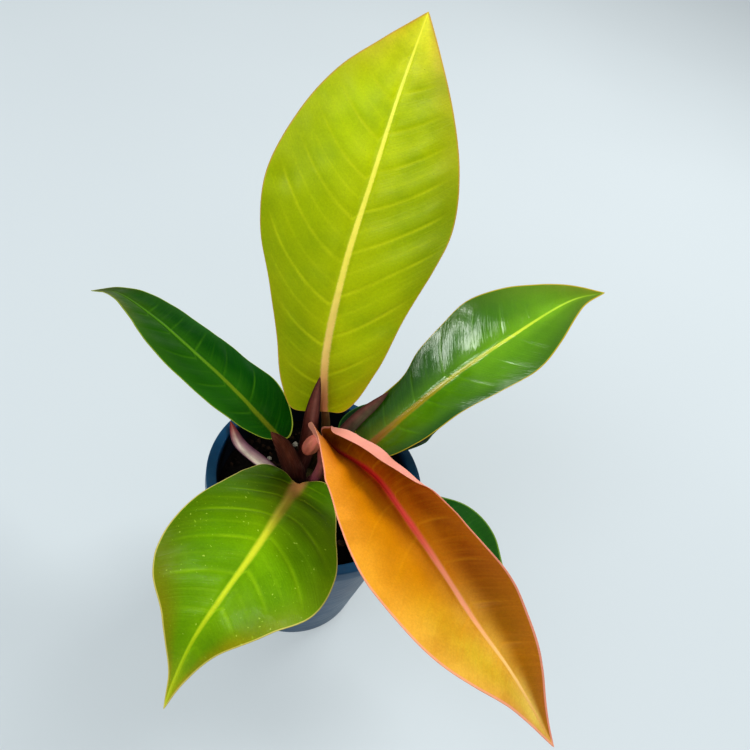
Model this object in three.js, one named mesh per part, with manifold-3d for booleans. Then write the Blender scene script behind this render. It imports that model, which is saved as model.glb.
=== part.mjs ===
// A potted philodendron: a 120 mm nursery pot of soil, a short stem, seven broad leaves and the
// papery sheaths that once wrapped the young ones. Millimetres, +Z up, origin at the centre of
// the pot's underside. Every place on the plant is given from the crown, the point above the
// soil where the stalks part, so the plant rides on the soil when a size is changed.
import * as THREE from "three";
import { mergeVertices } from "three/addons/utils/BufferGeometryUtils.js";
import Module from "manifold-3d";

const wasm = await Module();
wasm.setup();

// ---- Driving dimensions -------------------------------------------------------------------
const CLEARANCE = 0.3; // gap left between pieces that touch

const POT_HEIGHT = 105;
const RIM_DIAMETER = 120;
const RIM_FLAT = 5.5; // width of the flat top of the rim
const LIP_DROP = 8; // how far the rolled lip hangs down
const BASE_DIAMETER = 86;
const POT_WALL = 1.3;
const POT_FLOOR = 1.8;
const FOOT_HEIGHT = 3; // how far the channel with the holes is lifted off the table
const FOOT_WIDTH = 6;
const PAD_DIAMETER = 22; // flat pad in the middle of the underside
const DRAIN_HOLE_DIAMETER = 8;
const DRAIN_HOLE_COUNT = 8;
const FOOT_NOTCH_WIDTH = 10;
const FOOT_NOTCH_COUNT = 4;

const SOIL_DROP = 16; // soil surface below the rim
const SOIL_LUMP = 1.2;
const CROWN_RISE = 16; // the crown above the soil surface
const STEM_DIAMETER = 12;
const STEM_DEPTH = 12; // stem below the soil surface
const STEM_HEIGHT = 18; // stem above the soil surface

const BLADE_THICKNESS = 1;
const RIB_HEIGHT = 2.6; // how far the midrib stands out under the blade, at its base
const RIB_HALF_WIDTH = 2.4;
const SHEATH_THICKNESS = 0.9;
const PETIOLE_DIAMETER = 5;
const PETIOLE_FOOT_DIAMETER = 6.5; // where a stalk leaves the stem, which has room for no more
const LOBE_LENGTH = 14; // rolled lobe at the foot of the youngest leaf
const LOBE_WIDTH = 8;

const STEM_AXIS = new THREE.Vector3(-5, 0, 0);
const rimRadius = RIM_DIAMETER / 2;
const stalkRadius = PETIOLE_DIAMETER / 2;
const soilLevel = POT_HEIGHT - SOIL_DROP;
const crownLevel = soilLevel + CROWN_RISE;
const rimAboveCrown = POT_HEIGHT - crownLevel;

// ---- Leaves ---------------------------------------------------------------------------------
// midrib: points on the upper face, from the crown. face: the side the upper face looks to.
// left and right: the flat outline of each half, as [share of length, share of width] from the
// petiole to the tip, left and right as seen from the petiole with the upper face up. fold and
// edge: how steeply each half rises beside the midrib and at the margin, in degrees, at evenly
// spaced places along the leaf. petiole: its centre line from the stem up to the blade.
const LEAVES = [
  {
    name: "leaf_top", colour: 0xa8b820, width: 94, face: [0.05, -0.8, 0.6],
    midrib: [[-6, 1, 52], [-13, 11, 79], [-17, 33, 119], [-17.5, 60, 153], [-18, 86, 181], [-17, 114, 211]],
    left: [[0, 0.09], [0.01, 0.17], [0.08, 0.22], [0.18, 0.26], [0.29, 0.34], [0.42, 0.46],
      [0.54, 0.5], [0.67, 0.45], [0.8, 0.33], [0.9, 0.17]],
    right: [[0, 0.09], [0.04, 0.18], [0.14, 0.28], [0.3, 0.36], [0.43, 0.43], [0.54, 0.46],
      [0.67, 0.4], [0.8, 0.28], [0.9, 0.15]],
    foldLeft: [8, 6, 4], edgeLeft: [0], foldRight: [8, 6, 4], edgeRight: [0],
    petiole: [[-5.5, 2, -8], [-4.5, 6.5, 3], [-2.6, 9, 22], [-4, 6.6, 38]],
  },
  {
    name: "leaf_left", colour: 0x2f7d1c, width: 62, face: [0.1, -0.1, 1],
    midrib: [[-27, -3, 27], [-55, 5, 42], [-81, 13, 51], [-107, 28, 49], [-138, 46, 40], [-159, 55, 26]],
    left: [[0, 0.08], [0.03, 0.17], [0.12, 0.29], [0.27, 0.38], [0.42, 0.37], [0.6, 0.26],
      [0.78, 0.14], [0.91, 0.06]],
    right: [[-0.04, 0.06], [-0.02, 0.17], [0.06, 0.3], [0.17, 0.41], [0.33, 0.4], [0.52, 0.335],
      [0.74, 0.23], [0.9, 0.08]],
    foldLeft: [22, 26, 28], edgeLeft: [22, 26, 28],
    foldRight: [15, -8, -12, -8, 0], edgeRight: [5, -35, -35, -20, -5],
    petiole: [[-5, 0, -10], [-13, 2.5, -5], [-19, 2, 5], [-24, -1, 18]],
  },
  {
    name: "leaf_right", colour: 0x3c9a1e, width: 76, face: [-0.1, -0.35, 1],
    midrib: [[21, 8, 27], [33, 21, 43], [52, 42, 64], [74, 68, 78], [106, 108, 89], [124, 121, 92]],
    left: [[0, 0.12], [0.04, 0.2], [0.13, 0.21], [0.23, 0.22], [0.31, 0.29], [0.42, 0.35],
      [0.54, 0.4], [0.68, 0.34], [0.8, 0.22], [0.91, 0.09]],
    right: [[0, 0.08], [0.04, 0.16], [0.15, 0.23], [0.3, 0.25], [0.44, 0.3], [0.57, 0.32],
      [0.7, 0.25], [0.82, 0.15], [0.92, 0.06]],
    foldLeft: [15, 10, 10], edgeLeft: [0], foldRight: [15, 10, 10], edgeRight: [0],
    petiole: [[-5, 0, -6], [3.5, 3.5, -2], [12, 3.5, 10], [18, 5.5, 21]],
  },
  {
    name: "leaf_front", colour: 0x6aa31c, width: 80, face: [0, -0.25, 1],
    midrib: [[-7, -22, 17], [-9, -50, 34], [-13, -84, 46], [-18, -106, 45], [-23, -122, 35],
      [-26, -134, 15], [-27, -140, 1]],
    left: [[-0.06, 0.04], [-0.1, 0.13], [-0.05, 0.22], [0.08, 0.28], [0.25, 0.36], [0.42, 0.46],
      [0.53, 0.45], [0.63, 0.3], [0.75, 0.14], [0.88, 0.05]],
    right: [[-0.02, 0.05], [-0.04, 0.15], [-0.02, 0.25], [0.08, 0.33], [0.25, 0.39], [0.43, 0.45],
      [0.57, 0.44], [0.66, 0.37], [0.74, 0.19], [0.86, 0.05]],
    foldLeft: [8, 6, 4], edgeLeft: [0], foldRight: [8, 6, 4], edgeRight: [0],
    petiole: [[-5, 0, -11], [-6, -9, -7], [-6.6, -15, 2], [-7, -20, 12]],
  },
  {
    name: "leaf_orange", colour: 0xc9781c, width: 78, face: [0, 0, 1],
    midrib: [[-2, -8, 40], [4, -13, 43], [27, -29, 54], [46, -52, 62], [64, -72, 65], [82, -90, 64],
      [103, -104, 57], [129, -119, 39]],
    left: [[-0.02, 0.07], [0.03, 0.13], [0.12, 0.18], [0.22, 0.2], [0.34, 0.235], [0.5, 0.285],
      [0.63, 0.295], [0.74, 0.24], [0.84, 0.155], [0.93, 0.06]],
    right: [[-0.04, 0.08], [0, 0.2], [0.08, 0.3], [0.2, 0.38], [0.38, 0.44], [0.53, 0.44],
      [0.66, 0.36], [0.76, 0.25], [0.86, 0.12]],
    foldLeft: [60, 66, 50, 25, 12], edgeLeft: [140, 145, 90, 40, 15],
    foldRight: [65, 25, 10, 8, 5], edgeRight: [75, 10, 0, 0, 0],
    petiole: [[-3.5, -2, -5], [-0.5, -4.8, 4], [1, -6.5, 20], [-1, -8, 34]],
    lobe: { centre: [-6.6, -7.8, 34.5], lean: [0.35, 0.2, 1] },
  },
  {
    name: "leaf_low_front", colour: 0x2c8a1a, width: 60, face: [0, -0.1, 1],
    midrib: [[30, -5, 1], [56, -7, 8], [86, -8, 6], [112, -16, -4]],
    left: [[-0.06, 0.12], [-0.05, 0.18], [0.04, 0.22], [0.22, 0.22], [0.42, 0.22], [0.62, 0.235],
      [0.84, 0.155]],
    right: [[-0.06, 0.12], [-0.07, 0.25], [0.02, 0.38], [0.2, 0.46], [0.42, 0.5], [0.65, 0.42],
      [0.85, 0.2]],
    foldLeft: [10, 5, 5], edgeLeft: [0, -10, -10], foldRight: [12, 10, 10], edgeRight: [0],
    petiole: [[-5, 0, -12], [5, -3, -8.5], [16, -4, -6], [26, -4, -3]],
  },
  {
    name: "leaf_low_back", colour: 0x1f5a16, width: 56, face: [0, -0.2, 1],
    midrib: [[8, 22, 14], [24, 32, 21], [41, 42, 22], [59, 50, 17]],
    left: [[-0.04, 0.1], [0, 0.2], [0.1, 0.28], [0.3, 0.34], [0.5, 0.32], [0.7, 0.22], [0.88, 0.09]],
    right: [[-0.04, 0.1], [0, 0.22], [0.1, 0.33], [0.3, 0.42], [0.5, 0.42], [0.7, 0.32], [0.86, 0.15]],
    foldLeft: [-10, -18, -15], edgeLeft: [-20, -35, -25],
    foldRight: [20, 20, 15], edgeRight: [20, 25, 15],
    petiole: [[-5, 0, -12], [0, 7, -9], [3, 13, -2], [6, 19, 9]],
  },
];

// ---- Sheaths --------------------------------------------------------------------------------
// Papery troughs that stand at the foot of the leaf stalks. Their numbers read as a leaf's do.
const SHEATH_OUTLINE = [[0, 0.26], [0.12, 0.42], [0.45, 0.47], [0.75, 0.33], [0.92, 0.14]];
const SHEATH_FOLD = [25, 20, 15];
const SHEATH_EDGE = [65, 50, 30];
const PALE_OUTLINE = [[0, 0.15], [0.12, 0.24], [0.4, 0.48], [0.7, 0.38], [0.92, 0.14]];
const SHEATHS = [
  {
    name: "sheath_centre", colour: 0x6e3a34, width: 11, face: [0, -0.9, 0.3], outline: SHEATH_OUTLINE,
    midrib: [[-9.8, 0.5, -3.5], [-9.4, 1.6, 20], [-9.9, -0.2, 38], [-10.8, -1.9, 50], [-12.1, 0.3, 75.8]],
  },
  {
    name: "sheath_right", colour: 0x8d7468, width: 10, face: [-0.3, -0.6, 0.75], outline: SHEATH_OUTLINE,
    midrib: [[stalkRadius - 1, 8.8, 2], [stalkRadius + 2, 11.5, 15], [8, 12.8, 28], [12.5, 16.5, 39],
      [18, 21.6, 47.3], [22.5, 27.1, 53.5]],
  },
  {
    name: "sheath_left", colour: 0x4a2420, width: 14, face: [0.3, -0.7, 0.6], outline: SHEATH_OUTLINE,
    midrib: [[-9.5, -6.5, -4], [-11.6, -8.6, 7.5], [-16.5, -8.7, 18.5], [-22.2, -8.3, 28],
      [-28.6, -8.8, 35]],
  },
  {
    name: "sheath_pale", colour: 0xcfc3bd, width: 11, face: [-0.1, 0.2, 1], outline: PALE_OUTLINE,
    midrib: [[-12, -5.5, -10.5], [-0.31 * rimRadius, -3, -8.5], [-0.57 * rimRadius, -1.5, -4],
      [-0.77 * rimRadius, 3, rimAboveCrown - 0.5], [-0.94 * rimRadius, 15, rimAboveCrown + 2.6]],
  },
];

// Pale grains and dark chips that lie half sunk in the soil: [name, x, y, size].
const GRAINS = [
  ["perlite_1", -19, 27, 4], ["perlite_2", -30, 12, 3.4], ["perlite_3", -33, -18, 3.8],
  ["perlite_4", 12, -34, 3.6], ["bark_1", 24, -26, 6], ["bark_2", -12, 38, 5.5],
];

// ---- Solids ---------------------------------------------------------------------------------
function solidFromGeometry(geometry) {
  const bare = geometry.clone();
  bare.deleteAttribute("normal");
  bare.deleteAttribute("uv");
  const merged = mergeVertices(bare, 1e-4);
  const mesh = new wasm.Mesh({
    numProp: 3,
    vertProperties: new Float32Array(merged.attributes.position.array),
    triVerts: new Uint32Array(merged.index.array),
  });
  return new wasm.Manifold(mesh);
}

function solidFromTriangles(points, triangles) {
  const geometry = new THREE.BufferGeometry();
  const flat = points.flatMap((point) => [point.x, point.y, point.z]);
  geometry.setAttribute("position", new THREE.Float32BufferAttribute(flat, 3));
  geometry.setIndex(triangles.flat());
  return solidFromGeometry(geometry);
}

function geometryFromSolid(solid) {
  const mesh = solid.getMesh();
  const geometry = new THREE.BufferGeometry();
  geometry.setAttribute("position", new THREE.Float32BufferAttribute(mesh.vertProperties, 3));
  geometry.setIndex(Array.from(mesh.triVerts));
  geometry.computeVertexNormals();
  return geometry;
}

function turned(outline, segments) {
  const lathe = new THREE.LatheGeometry(outline.map(([r, z]) => new THREE.Vector2(r, z)), segments);
  return solidFromGeometry(lathe.rotateX(Math.PI / 2));
}

function fromCrown([x, y, z]) {
  return new THREE.Vector3(x, y, z + crownLevel);
}

function curveThrough(points) {
  const curve = new THREE.CatmullRomCurve3(points, false, "centripetal");
  curve.arcLengthDivisions = 240;
  return curve;
}

// Value at a share of the way along evenly spaced keys, eased between them.
function keyed(share, keys) {
  const place = THREE.MathUtils.clamp(share, 0, 1) * (keys.length - 1);
  const index = Math.min(Math.floor(place), keys.length - 2);
  if (index < 0) return keys[0];
  return THREE.MathUtils.lerp(keys[index], keys[index + 1], THREE.MathUtils.smoothstep(place - index, 0, 1));
}

// The bent surface of a leaf or sheath, in flat coordinates: along the midrib and across it,
// across being negative on the left half.
class Blade {
  constructor(spec) {
    this.spec = spec;
    this.curve = curveThrough(spec.midrib.map(fromCrown));
    this.length = this.curve.getLength();
    this.face = new THREE.Vector3(...spec.face).normalize();
  }

  midrib(along) {
    const share = THREE.MathUtils.clamp(along / this.length, 0, 1);
    const tangent = this.curve.getTangentAt(share);
    const point = this.curve.getPointAt(share);
    return { tangent, point: point.addScaledVector(tangent, along - share * this.length) };
  }

  at(along, across) {
    const { tangent, point } = this.midrib(along);
    const normal = this.face.clone().addScaledVector(tangent, -tangent.dot(this.face)).normalize();
    const rightward = new THREE.Vector3().crossVectors(tangent, normal);
    const side = across < 0 ? "Left" : "Right";
    const share = along / this.length;
    const fold = keyed(share, this.spec["fold" + side]);
    const edge = keyed(share, this.spec["edge" + side]);
    const reach = Math.abs(across);
    const steps = 12;
    let outward = 0;
    let upward = 0;
    for (let step = 0; step < steps; step++) {
      const distance = (reach * (step + 0.5)) / steps;
      const bend = Math.min(distance / (this.spec.width / 2), 1.6);
      const angle = THREE.MathUtils.degToRad(THREE.MathUtils.lerp(fold, edge, bend));
      outward += (Math.cos(angle) * reach) / steps;
      upward += (Math.sin(angle) * reach) / steps;
    }
    return point.addScaledVector(rightward, Math.sign(across) * outward).addScaledVector(normal, upward);
  }

  upwards(along, across) {
    const step = 0.5;
    const forward = this.at(along + step, across).sub(this.at(along - step, across));
    const rightward = this.at(along, across + step).sub(this.at(along, across - step));
    return rightward.cross(forward).normalize();
  }

  // Points down one margin, evenly spaced, from the petiole to the tip, as [along, across].
  margin(outline, count) {
    const between = outline.map(([a, b]) => [a * this.length, b * this.spec.width]);
    const flat = [[0, 0], ...between, [this.length, 0]];
    const curve = curveThrough(flat.map(([a, b]) => new THREE.Vector3(a, b, 0)));
    return curve.getSpacedPoints(count).map((point) => [point.x, point.y]);
  }
}

// A closed sheet below the surface of a blade. thicknessAt gives its depth at [share, across].
function sheet(blade, rows, columns, thicknessAt) {
  const margins = { [-1]: blade.margin(blade.spec.left, rows), 1: blade.margin(blade.spec.right, rows) };
  const upper = [];
  const lower = [];
  const index = [];
  for (let row = 0; row <= rows; row++) {
    const start = blade.length * (row / rows) ** 1.45;
    const isEnd = row === 0 || row === rows;
    index.push([]);
    for (let column = -columns; column <= columns; column++) {
      if (!isEnd || column === -columns) {
        const share = (Math.abs(column) / columns) ** 1.25;
        const [marginAlong, marginAcross] = margins[column < 0 ? -1 : 1][row];
        const along = start + (marginAlong - start) * share ** 1.5;
        const across = isEnd ? 0 : Math.sign(column) * marginAcross * share;
        const point = blade.at(along, across);
        upper.push(point);
        const depth = thicknessAt(along / blade.length, across);
        lower.push(point.clone().addScaledVector(blade.upwards(along, across), -depth));
      }
      index[row].push(upper.length - 1);
    }
  }
  const offset = upper.length;
  const triangles = [];
  const add = (a, b, c) => {
    if (a === b || b === c || c === a) return;
    triangles.push([a, b, c], [offset + c, offset + b, offset + a]);
  };
  for (let row = 0; row < rows; row++) {
    const [near, far] = [index[row], index[row + 1]];
    for (let column = 0; column < 2 * columns; column++) {
      add(near[column], near[column + 1], far[column + 1]);
      add(near[column], far[column + 1], far[column]);
    }
    for (const [a, b] of [[near[0], far[0]], [far.at(-1), near.at(-1)]]) {
      triangles.push([a, b, offset + b], [a, offset + b, offset + a]);
    }
  }
  return solidFromTriangles([...upper, ...lower], triangles);
}

// A round limb along a curve, with closed flat ends.
function limb(points, radii, rings, sides) {
  const curve = curveThrough(points);
  const frames = curve.computeFrenetFrames(rings);
  const vertices = [];
  const triangles = [];
  for (let ring = 0; ring <= rings; ring++) {
    const radius = keyed(ring / rings, radii);
    for (let side = 0; side < sides; side++) {
      const angle = (2 * Math.PI * side) / sides;
      vertices.push(curve.getPointAt(ring / rings)
        .addScaledVector(frames.normals[ring], radius * Math.cos(angle))
        .addScaledVector(frames.binormals[ring], radius * Math.sin(angle)));
    }
  }
  for (let ring = 0; ring < rings; ring++) {
    for (let side = 0; side < sides; side++) {
      const a = ring * sides + side;
      const b = ring * sides + ((side + 1) % sides);
      triangles.push([a, b, b + sides], [a, b + sides, a + sides]);
    }
  }
  const last = rings * sides;
  for (let side = 1; side < sides - 1; side++) {
    triangles.push([0, side + 1, side], [last, last + side, last + side + 1]);
  }
  return solidFromTriangles(vertices, triangles);
}

// ---- Pot ------------------------------------------------------------------------------------
const baseRadius = BASE_DIAMETER / 2;
const wallTopRadius = rimRadius - RIM_FLAT; // inside of the wall at the rim
const outerRadiusAt = (z) =>
  THREE.MathUtils.lerp(baseRadius, wallTopRadius + POT_WALL, z / POT_HEIGHT);
const innerRadiusAt = (z) => outerRadiusAt(z) - POT_WALL;
const floorTop = FOOT_HEIGHT + POT_FLOOR;

function makePot() {
  const lipRound = POT_WALL;
  const channelOuter = baseRadius - FOOT_WIDTH;
  const padRadius = PAD_DIAMETER / 2;
  const underRim = POT_HEIGHT - POT_WALL;
  const outline = [
    [0, 0], [padRadius, 0], [padRadius + 1.5, FOOT_HEIGHT], [channelOuter - 1.5, FOOT_HEIGHT],
    [channelOuter, 0], [baseRadius - 1, 0], [outerRadiusAt(1), 1],
    [outerRadiusAt(underRim), underRim], [rimRadius - lipRound, underRim],
    [rimRadius - lipRound, POT_HEIGHT - LIP_DROP], [rimRadius, POT_HEIGHT - LIP_DROP],
    [rimRadius, POT_HEIGHT - lipRound], [rimRadius - 0.3 * lipRound, POT_HEIGHT - 0.3 * lipRound],
    [rimRadius - lipRound, POT_HEIGHT], [wallTopRadius + 0.5, POT_HEIGHT],
    [wallTopRadius, POT_HEIGHT - 0.5], [innerRadiusAt(floorTop), floorTop], [0, floorTop],
  ];
  let pot = turned(outline, 48);
  const holeRadius = DRAIN_HOLE_DIAMETER / 2;
  const holeRing = (padRadius + channelOuter) / 2;
  for (let hole = 0; hole < DRAIN_HOLE_COUNT; hole++) {
    const angle = (2 * Math.PI * (hole + 0.5)) / DRAIN_HOLE_COUNT;
    const drill = new THREE.CylinderGeometry(holeRadius, holeRadius, floorTop * 3, 16);
    drill.rotateX(Math.PI / 2).translate(holeRing * Math.cos(angle), holeRing * Math.sin(angle), 0);
    pot = pot.subtract(solidFromGeometry(drill));
  }
  for (let notch = 0; notch < FOOT_NOTCH_COUNT; notch++) {
    const angle = (2 * Math.PI * notch) / FOOT_NOTCH_COUNT;
    const cutter = new THREE.BoxGeometry(3 * FOOT_WIDTH, FOOT_NOTCH_WIDTH, FOOT_HEIGHT);
    cutter.translate(baseRadius, 0, 0).rotateZ(angle);
    pot = pot.subtract(solidFromGeometry(cutter));
  }
  return pot;
}

// ---- Stem, soil and grains ------------------------------------------------------------------
// The stem, grown by extra all round, which also cuts the room that its neighbours leave it.
function makeStem(extra) {
  const top = soilLevel + STEM_HEIGHT + extra;
  const bottom = soilLevel - STEM_DEPTH - extra;
  const radius = STEM_DIAMETER / 2 + extra;
  const waist = 0.88;
  const outline = [
    [0, bottom], [radius * 0.8, bottom], [radius, bottom + 4], [radius, soilLevel],
    [radius * waist, soilLevel + 3], [radius, soilLevel + 6], [radius * waist, soilLevel + 8],
    [radius, top - 4], [radius * 0.85, top - 1.5], [radius * 0.5, top], [0, top],
  ];
  return turned(outline, 20).translate([STEM_AXIS.x, STEM_AXIS.y, 0]);
}

function soilTopAt(radius, angle) {
  const ripple = Math.sin(3 * angle + radius * 0.21) + Math.sin(5 * angle - radius * 0.33 + 1)
    + Math.sin(radius * 0.4 + 2 * angle + 2);
  return soilLevel + (SOIL_LUMP * ripple) / 2;
}

function makeSoil(cutters) {
  const sectors = 40;
  const rings = 7;
  const bottom = floorTop + CLEARANCE;
  // The wall leans out, so the gap across it is measured level and stays above CLEARANCE.
  const wallGap = CLEARANCE + 0.1;
  const radiusAt = (z) => innerRadiusAt(z) - wallGap;
  const points = [new THREE.Vector3(0, 0, soilLevel), new THREE.Vector3(0, 0, bottom)];
  const triangles = [];
  for (let ring = 1; ring <= rings + 1; ring++) {
    for (let sector = 0; sector < sectors; sector++) {
      const angle = (2 * Math.PI * sector) / sectors;
      const onTop = ring <= rings;
      const topRadius = (radiusAt(soilLevel - SOIL_LUMP) * ring) / rings;
      const radius = onTop ? topRadius : radiusAt(bottom);
      const height = onTop ? soilTopAt(topRadius, angle) : bottom;
      points.push(new THREE.Vector3(radius * Math.cos(angle), radius * Math.sin(angle), height));
    }
  }
  const vertex = (ring, sector) => 2 + (ring - 1) * sectors + (sector % sectors);
  for (let sector = 0; sector < sectors; sector++) {
    triangles.push([0, vertex(1, sector), vertex(1, sector + 1)]);
    triangles.push([1, vertex(rings + 1, sector + 1), vertex(rings + 1, sector)]);
    for (let ring = 1; ring <= rings; ring++) {
      const [a, b] = [vertex(ring, sector), vertex(ring, sector + 1)];
      const [c, d] = [vertex(ring + 1, sector + 1), vertex(ring + 1, sector)];
      triangles.push([a, d, c], [a, c, b]);
    }
  }
  let soil = solidFromTriangles(points, triangles);
  for (const cutter of cutters) soil = soil.subtract(cutter);
  return soil;
}

function makeGrain([name, x, y, size], extra) {
  const isBark = name.startsWith("bark");
  const stone = new THREE.IcosahedronGeometry(1, isBark ? 0 : 1);
  const half = size / 2 + extra;
  const depth = (isBark ? size * 0.28 : size * 0.4) + extra;
  stone.scale(half, isBark ? size * 0.3 + extra : half * 0.85, depth).rotateZ(x * 0.7 + y);
  const height = soilTopAt(Math.hypot(x, y), Math.atan2(y, x)) + size * 0.12;
  return solidFromGeometry(stone.translate(x, y, height));
}

// ---- Leaves and sheaths ---------------------------------------------------------------------
function makeLeaf(spec, stemRoom) {
  const blade = new Blade(spec);
  const depthAt = (share, across) => {
    const taper = Math.max(1 - share, 0) ** 0.8;
    return BLADE_THICKNESS + RIB_HEIGHT * taper * Math.exp(-((across / RIB_HALF_WIDTH) ** 2));
  };
  const radius = stalkRadius;
  const reachIn = 3;
  const top = blade.at(reachIn, 0).addScaledVector(blade.upwards(reachIn, 0), -0.8 * radius);
  const points = [...spec.petiole.map(fromCrown), top];
  let leaf = sheet(blade, 14, 5, depthAt);
  leaf = leaf.add(limb(points, [PETIOLE_FOOT_DIAMETER / 2, radius * 1.1, radius, radius * 0.75], 9, 10));
  if (spec.lobe) {
    const lobe = new THREE.SphereGeometry(1, 12, 8).rotateX(Math.PI / 2);
    lobe.scale(LOBE_WIDTH / 2, LOBE_WIDTH / 2, LOBE_LENGTH / 2);
    const lean = new THREE.Vector3(...spec.lobe.lean).normalize();
    lobe.applyQuaternion(new THREE.Quaternion().setFromUnitVectors(new THREE.Vector3(0, 0, 1), lean));
    lobe.translate(...fromCrown(spec.lobe.centre).toArray());
    leaf = leaf.add(solidFromGeometry(lobe));
  }
  return leaf.subtract(stemRoom);
}

function makeSheath(spec, stemRoom) {
  const shape = {
    ...spec, left: spec.outline, right: spec.outline, foldLeft: SHEATH_FOLD, edgeLeft: SHEATH_EDGE,
    foldRight: SHEATH_FOLD, edgeRight: SHEATH_EDGE,
  };
  return sheet(new Blade(shape), 10, 3, () => SHEATH_THICKNESS).subtract(stemRoom);
}

// ---- The plant ------------------------------------------------------------------------------
const plant = new THREE.Group();
plant.name = "potted_philodendron";

function addPiece(name, solid, colour, roughness) {
  const material = new THREE.MeshStandardMaterial({ color: colour, roughness, metalness: 0 });
  const mesh = new THREE.Mesh(geometryFromSolid(solid), material);
  mesh.name = name;
  plant.add(mesh);
}

const stemRoom = makeStem(CLEARANCE);
addPiece("pot", makePot(), 0x1d4a68, 0.45);
const grainRoom = GRAINS.map((grain) => makeGrain(grain, CLEARANCE));
addPiece("soil", makeSoil([stemRoom, ...grainRoom]), 0x17110d, 0.95);
addPiece("stem", makeStem(0), 0x4a3a28, 0.7);
for (const spec of LEAVES) addPiece(spec.name, makeLeaf(spec, stemRoom), spec.colour, 0.35);
for (const spec of SHEATHS) addPiece(spec.name, makeSheath(spec, stemRoom), spec.colour, 0.6);
for (const grain of GRAINS) {
  const isBark = grain[0].startsWith("bark");
  addPiece(grain[0], makeGrain(grain, 0), isBark ? 0x4b3322 : 0xd8d4cc, 0.9);
}

export default plant;
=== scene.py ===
import math

import bmesh
import bpy
import numpy as np
from mathutils import Matrix, Vector


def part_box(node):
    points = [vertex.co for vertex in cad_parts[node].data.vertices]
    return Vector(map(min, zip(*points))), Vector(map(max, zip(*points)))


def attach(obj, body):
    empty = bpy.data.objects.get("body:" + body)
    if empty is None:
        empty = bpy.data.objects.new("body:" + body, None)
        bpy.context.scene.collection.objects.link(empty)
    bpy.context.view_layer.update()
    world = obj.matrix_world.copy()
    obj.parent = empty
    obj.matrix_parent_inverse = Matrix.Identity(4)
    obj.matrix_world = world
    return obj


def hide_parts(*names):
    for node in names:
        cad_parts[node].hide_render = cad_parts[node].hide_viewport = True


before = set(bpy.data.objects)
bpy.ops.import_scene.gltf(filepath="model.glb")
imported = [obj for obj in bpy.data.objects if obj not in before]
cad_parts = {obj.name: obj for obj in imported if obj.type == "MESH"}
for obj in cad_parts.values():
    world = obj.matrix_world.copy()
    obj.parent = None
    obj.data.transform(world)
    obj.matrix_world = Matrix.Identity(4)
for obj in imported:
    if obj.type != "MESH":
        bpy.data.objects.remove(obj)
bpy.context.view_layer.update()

MM = 0.001
_, POT_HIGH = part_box("pot")
RIM_Z = POT_HIGH.z / MM
RIM_RADIUS = POT_HIGH.x / MM
CROWN = np.array([0.0, 0.0, RIM_Z])


# ---- Small helpers --------------------------------------------------------------------------
def srgb(red, green, blue):
    """A display colour given in 0 to 255, as linear light."""
    channels = np.array([red, green, blue]) / 255.0
    return np.where(channels <= 0.04045, channels / 12.92, ((channels + 0.055) / 1.055) ** 2.4)


def unit(vectors):
    return vectors / np.maximum(np.linalg.norm(vectors, axis=-1, keepdims=True), 1e-12)


def ease(share):
    share = np.clip(share, 0, 1)
    return share * share * (3 - 2 * share)


def keyed(share, keys):
    """Value at a share of the way along evenly spaced keys, eased between them."""
    keys = np.asarray(keys, float)
    share = np.asarray(share, float)
    if len(keys) == 1:
        return np.broadcast_to(keys[0], share.shape + keys.shape[1:]).astype(float)
    at = np.clip(share, 0, 1) * (len(keys) - 1)
    index = np.minimum(at.astype(int), len(keys) - 2)
    blend = ease(at - index)
    if keys.ndim > 1:
        blend = blend[..., None]
    return keys[index] * (1 - blend) + keys[index + 1] * blend


def curve_through(points, samples=200):
    """Centripetal Catmull-Rom through the points, and the arc length at each sample."""
    points = np.asarray(points, float)
    points = np.vstack([2 * points[0] - points[1], points, 2 * points[-1] - points[-2]])
    knots = np.concatenate([[0], np.cumsum(np.linalg.norm(np.diff(points, axis=0), axis=1) ** 0.5)])
    at = np.linspace(knots[1], knots[-2], samples)
    index = np.clip(np.searchsorted(knots, at, side="right") - 1, 1, len(points) - 3)
    p = [points[index + k - 1] for k in range(4)]
    t = [knots[index + k - 1][:, None] for k in range(4)]
    at = at[:, None]

    def between(a, b, low, high):
        return ((high - at) * a + (at - low) * b) / (high - low)

    a1, a2, a3 = (between(p[k], p[k + 1], t[k], t[k + 1]) for k in range(3))
    b1, b2 = between(a1, a2, t[0], t[2]), between(a2, a3, t[1], t[3])
    path = between(b1, b2, t[1], t[2])
    lengths = np.concatenate([[0], np.cumsum(np.linalg.norm(np.diff(path, axis=0), axis=1))])
    return path, lengths


def along_path(path, lengths, distance):
    """Points at distances along a path, straight on past its ends."""
    inside = np.stack([np.interp(distance, lengths, path[:, k]) for k in range(path.shape[1])], -1)
    first, last = unit(path[1] - path[0]), unit(path[-1] - path[-2])
    before = np.minimum(distance, 0)[..., None] * first
    after = np.maximum(distance - lengths[-1], 0)[..., None] * last
    return inside + before + after


def ripple(x, y, wavelength, seed, waves=7):
    """Smooth seeded unevenness between about -1 and 1."""
    random_source = np.random.default_rng(seed)
    total = np.zeros(np.broadcast(x, y).shape)
    for _ in range(waves):
        angle = random_source.uniform(0, 2 * math.pi)
        length = wavelength * random_source.uniform(0.7, 1.5)
        phase = random_source.uniform(0, 2 * math.pi)
        total += np.sin(2 * math.pi * (x * math.cos(angle) + y * math.sin(angle)) / length + phase)
    return total / math.sqrt(waves * 2)


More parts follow.
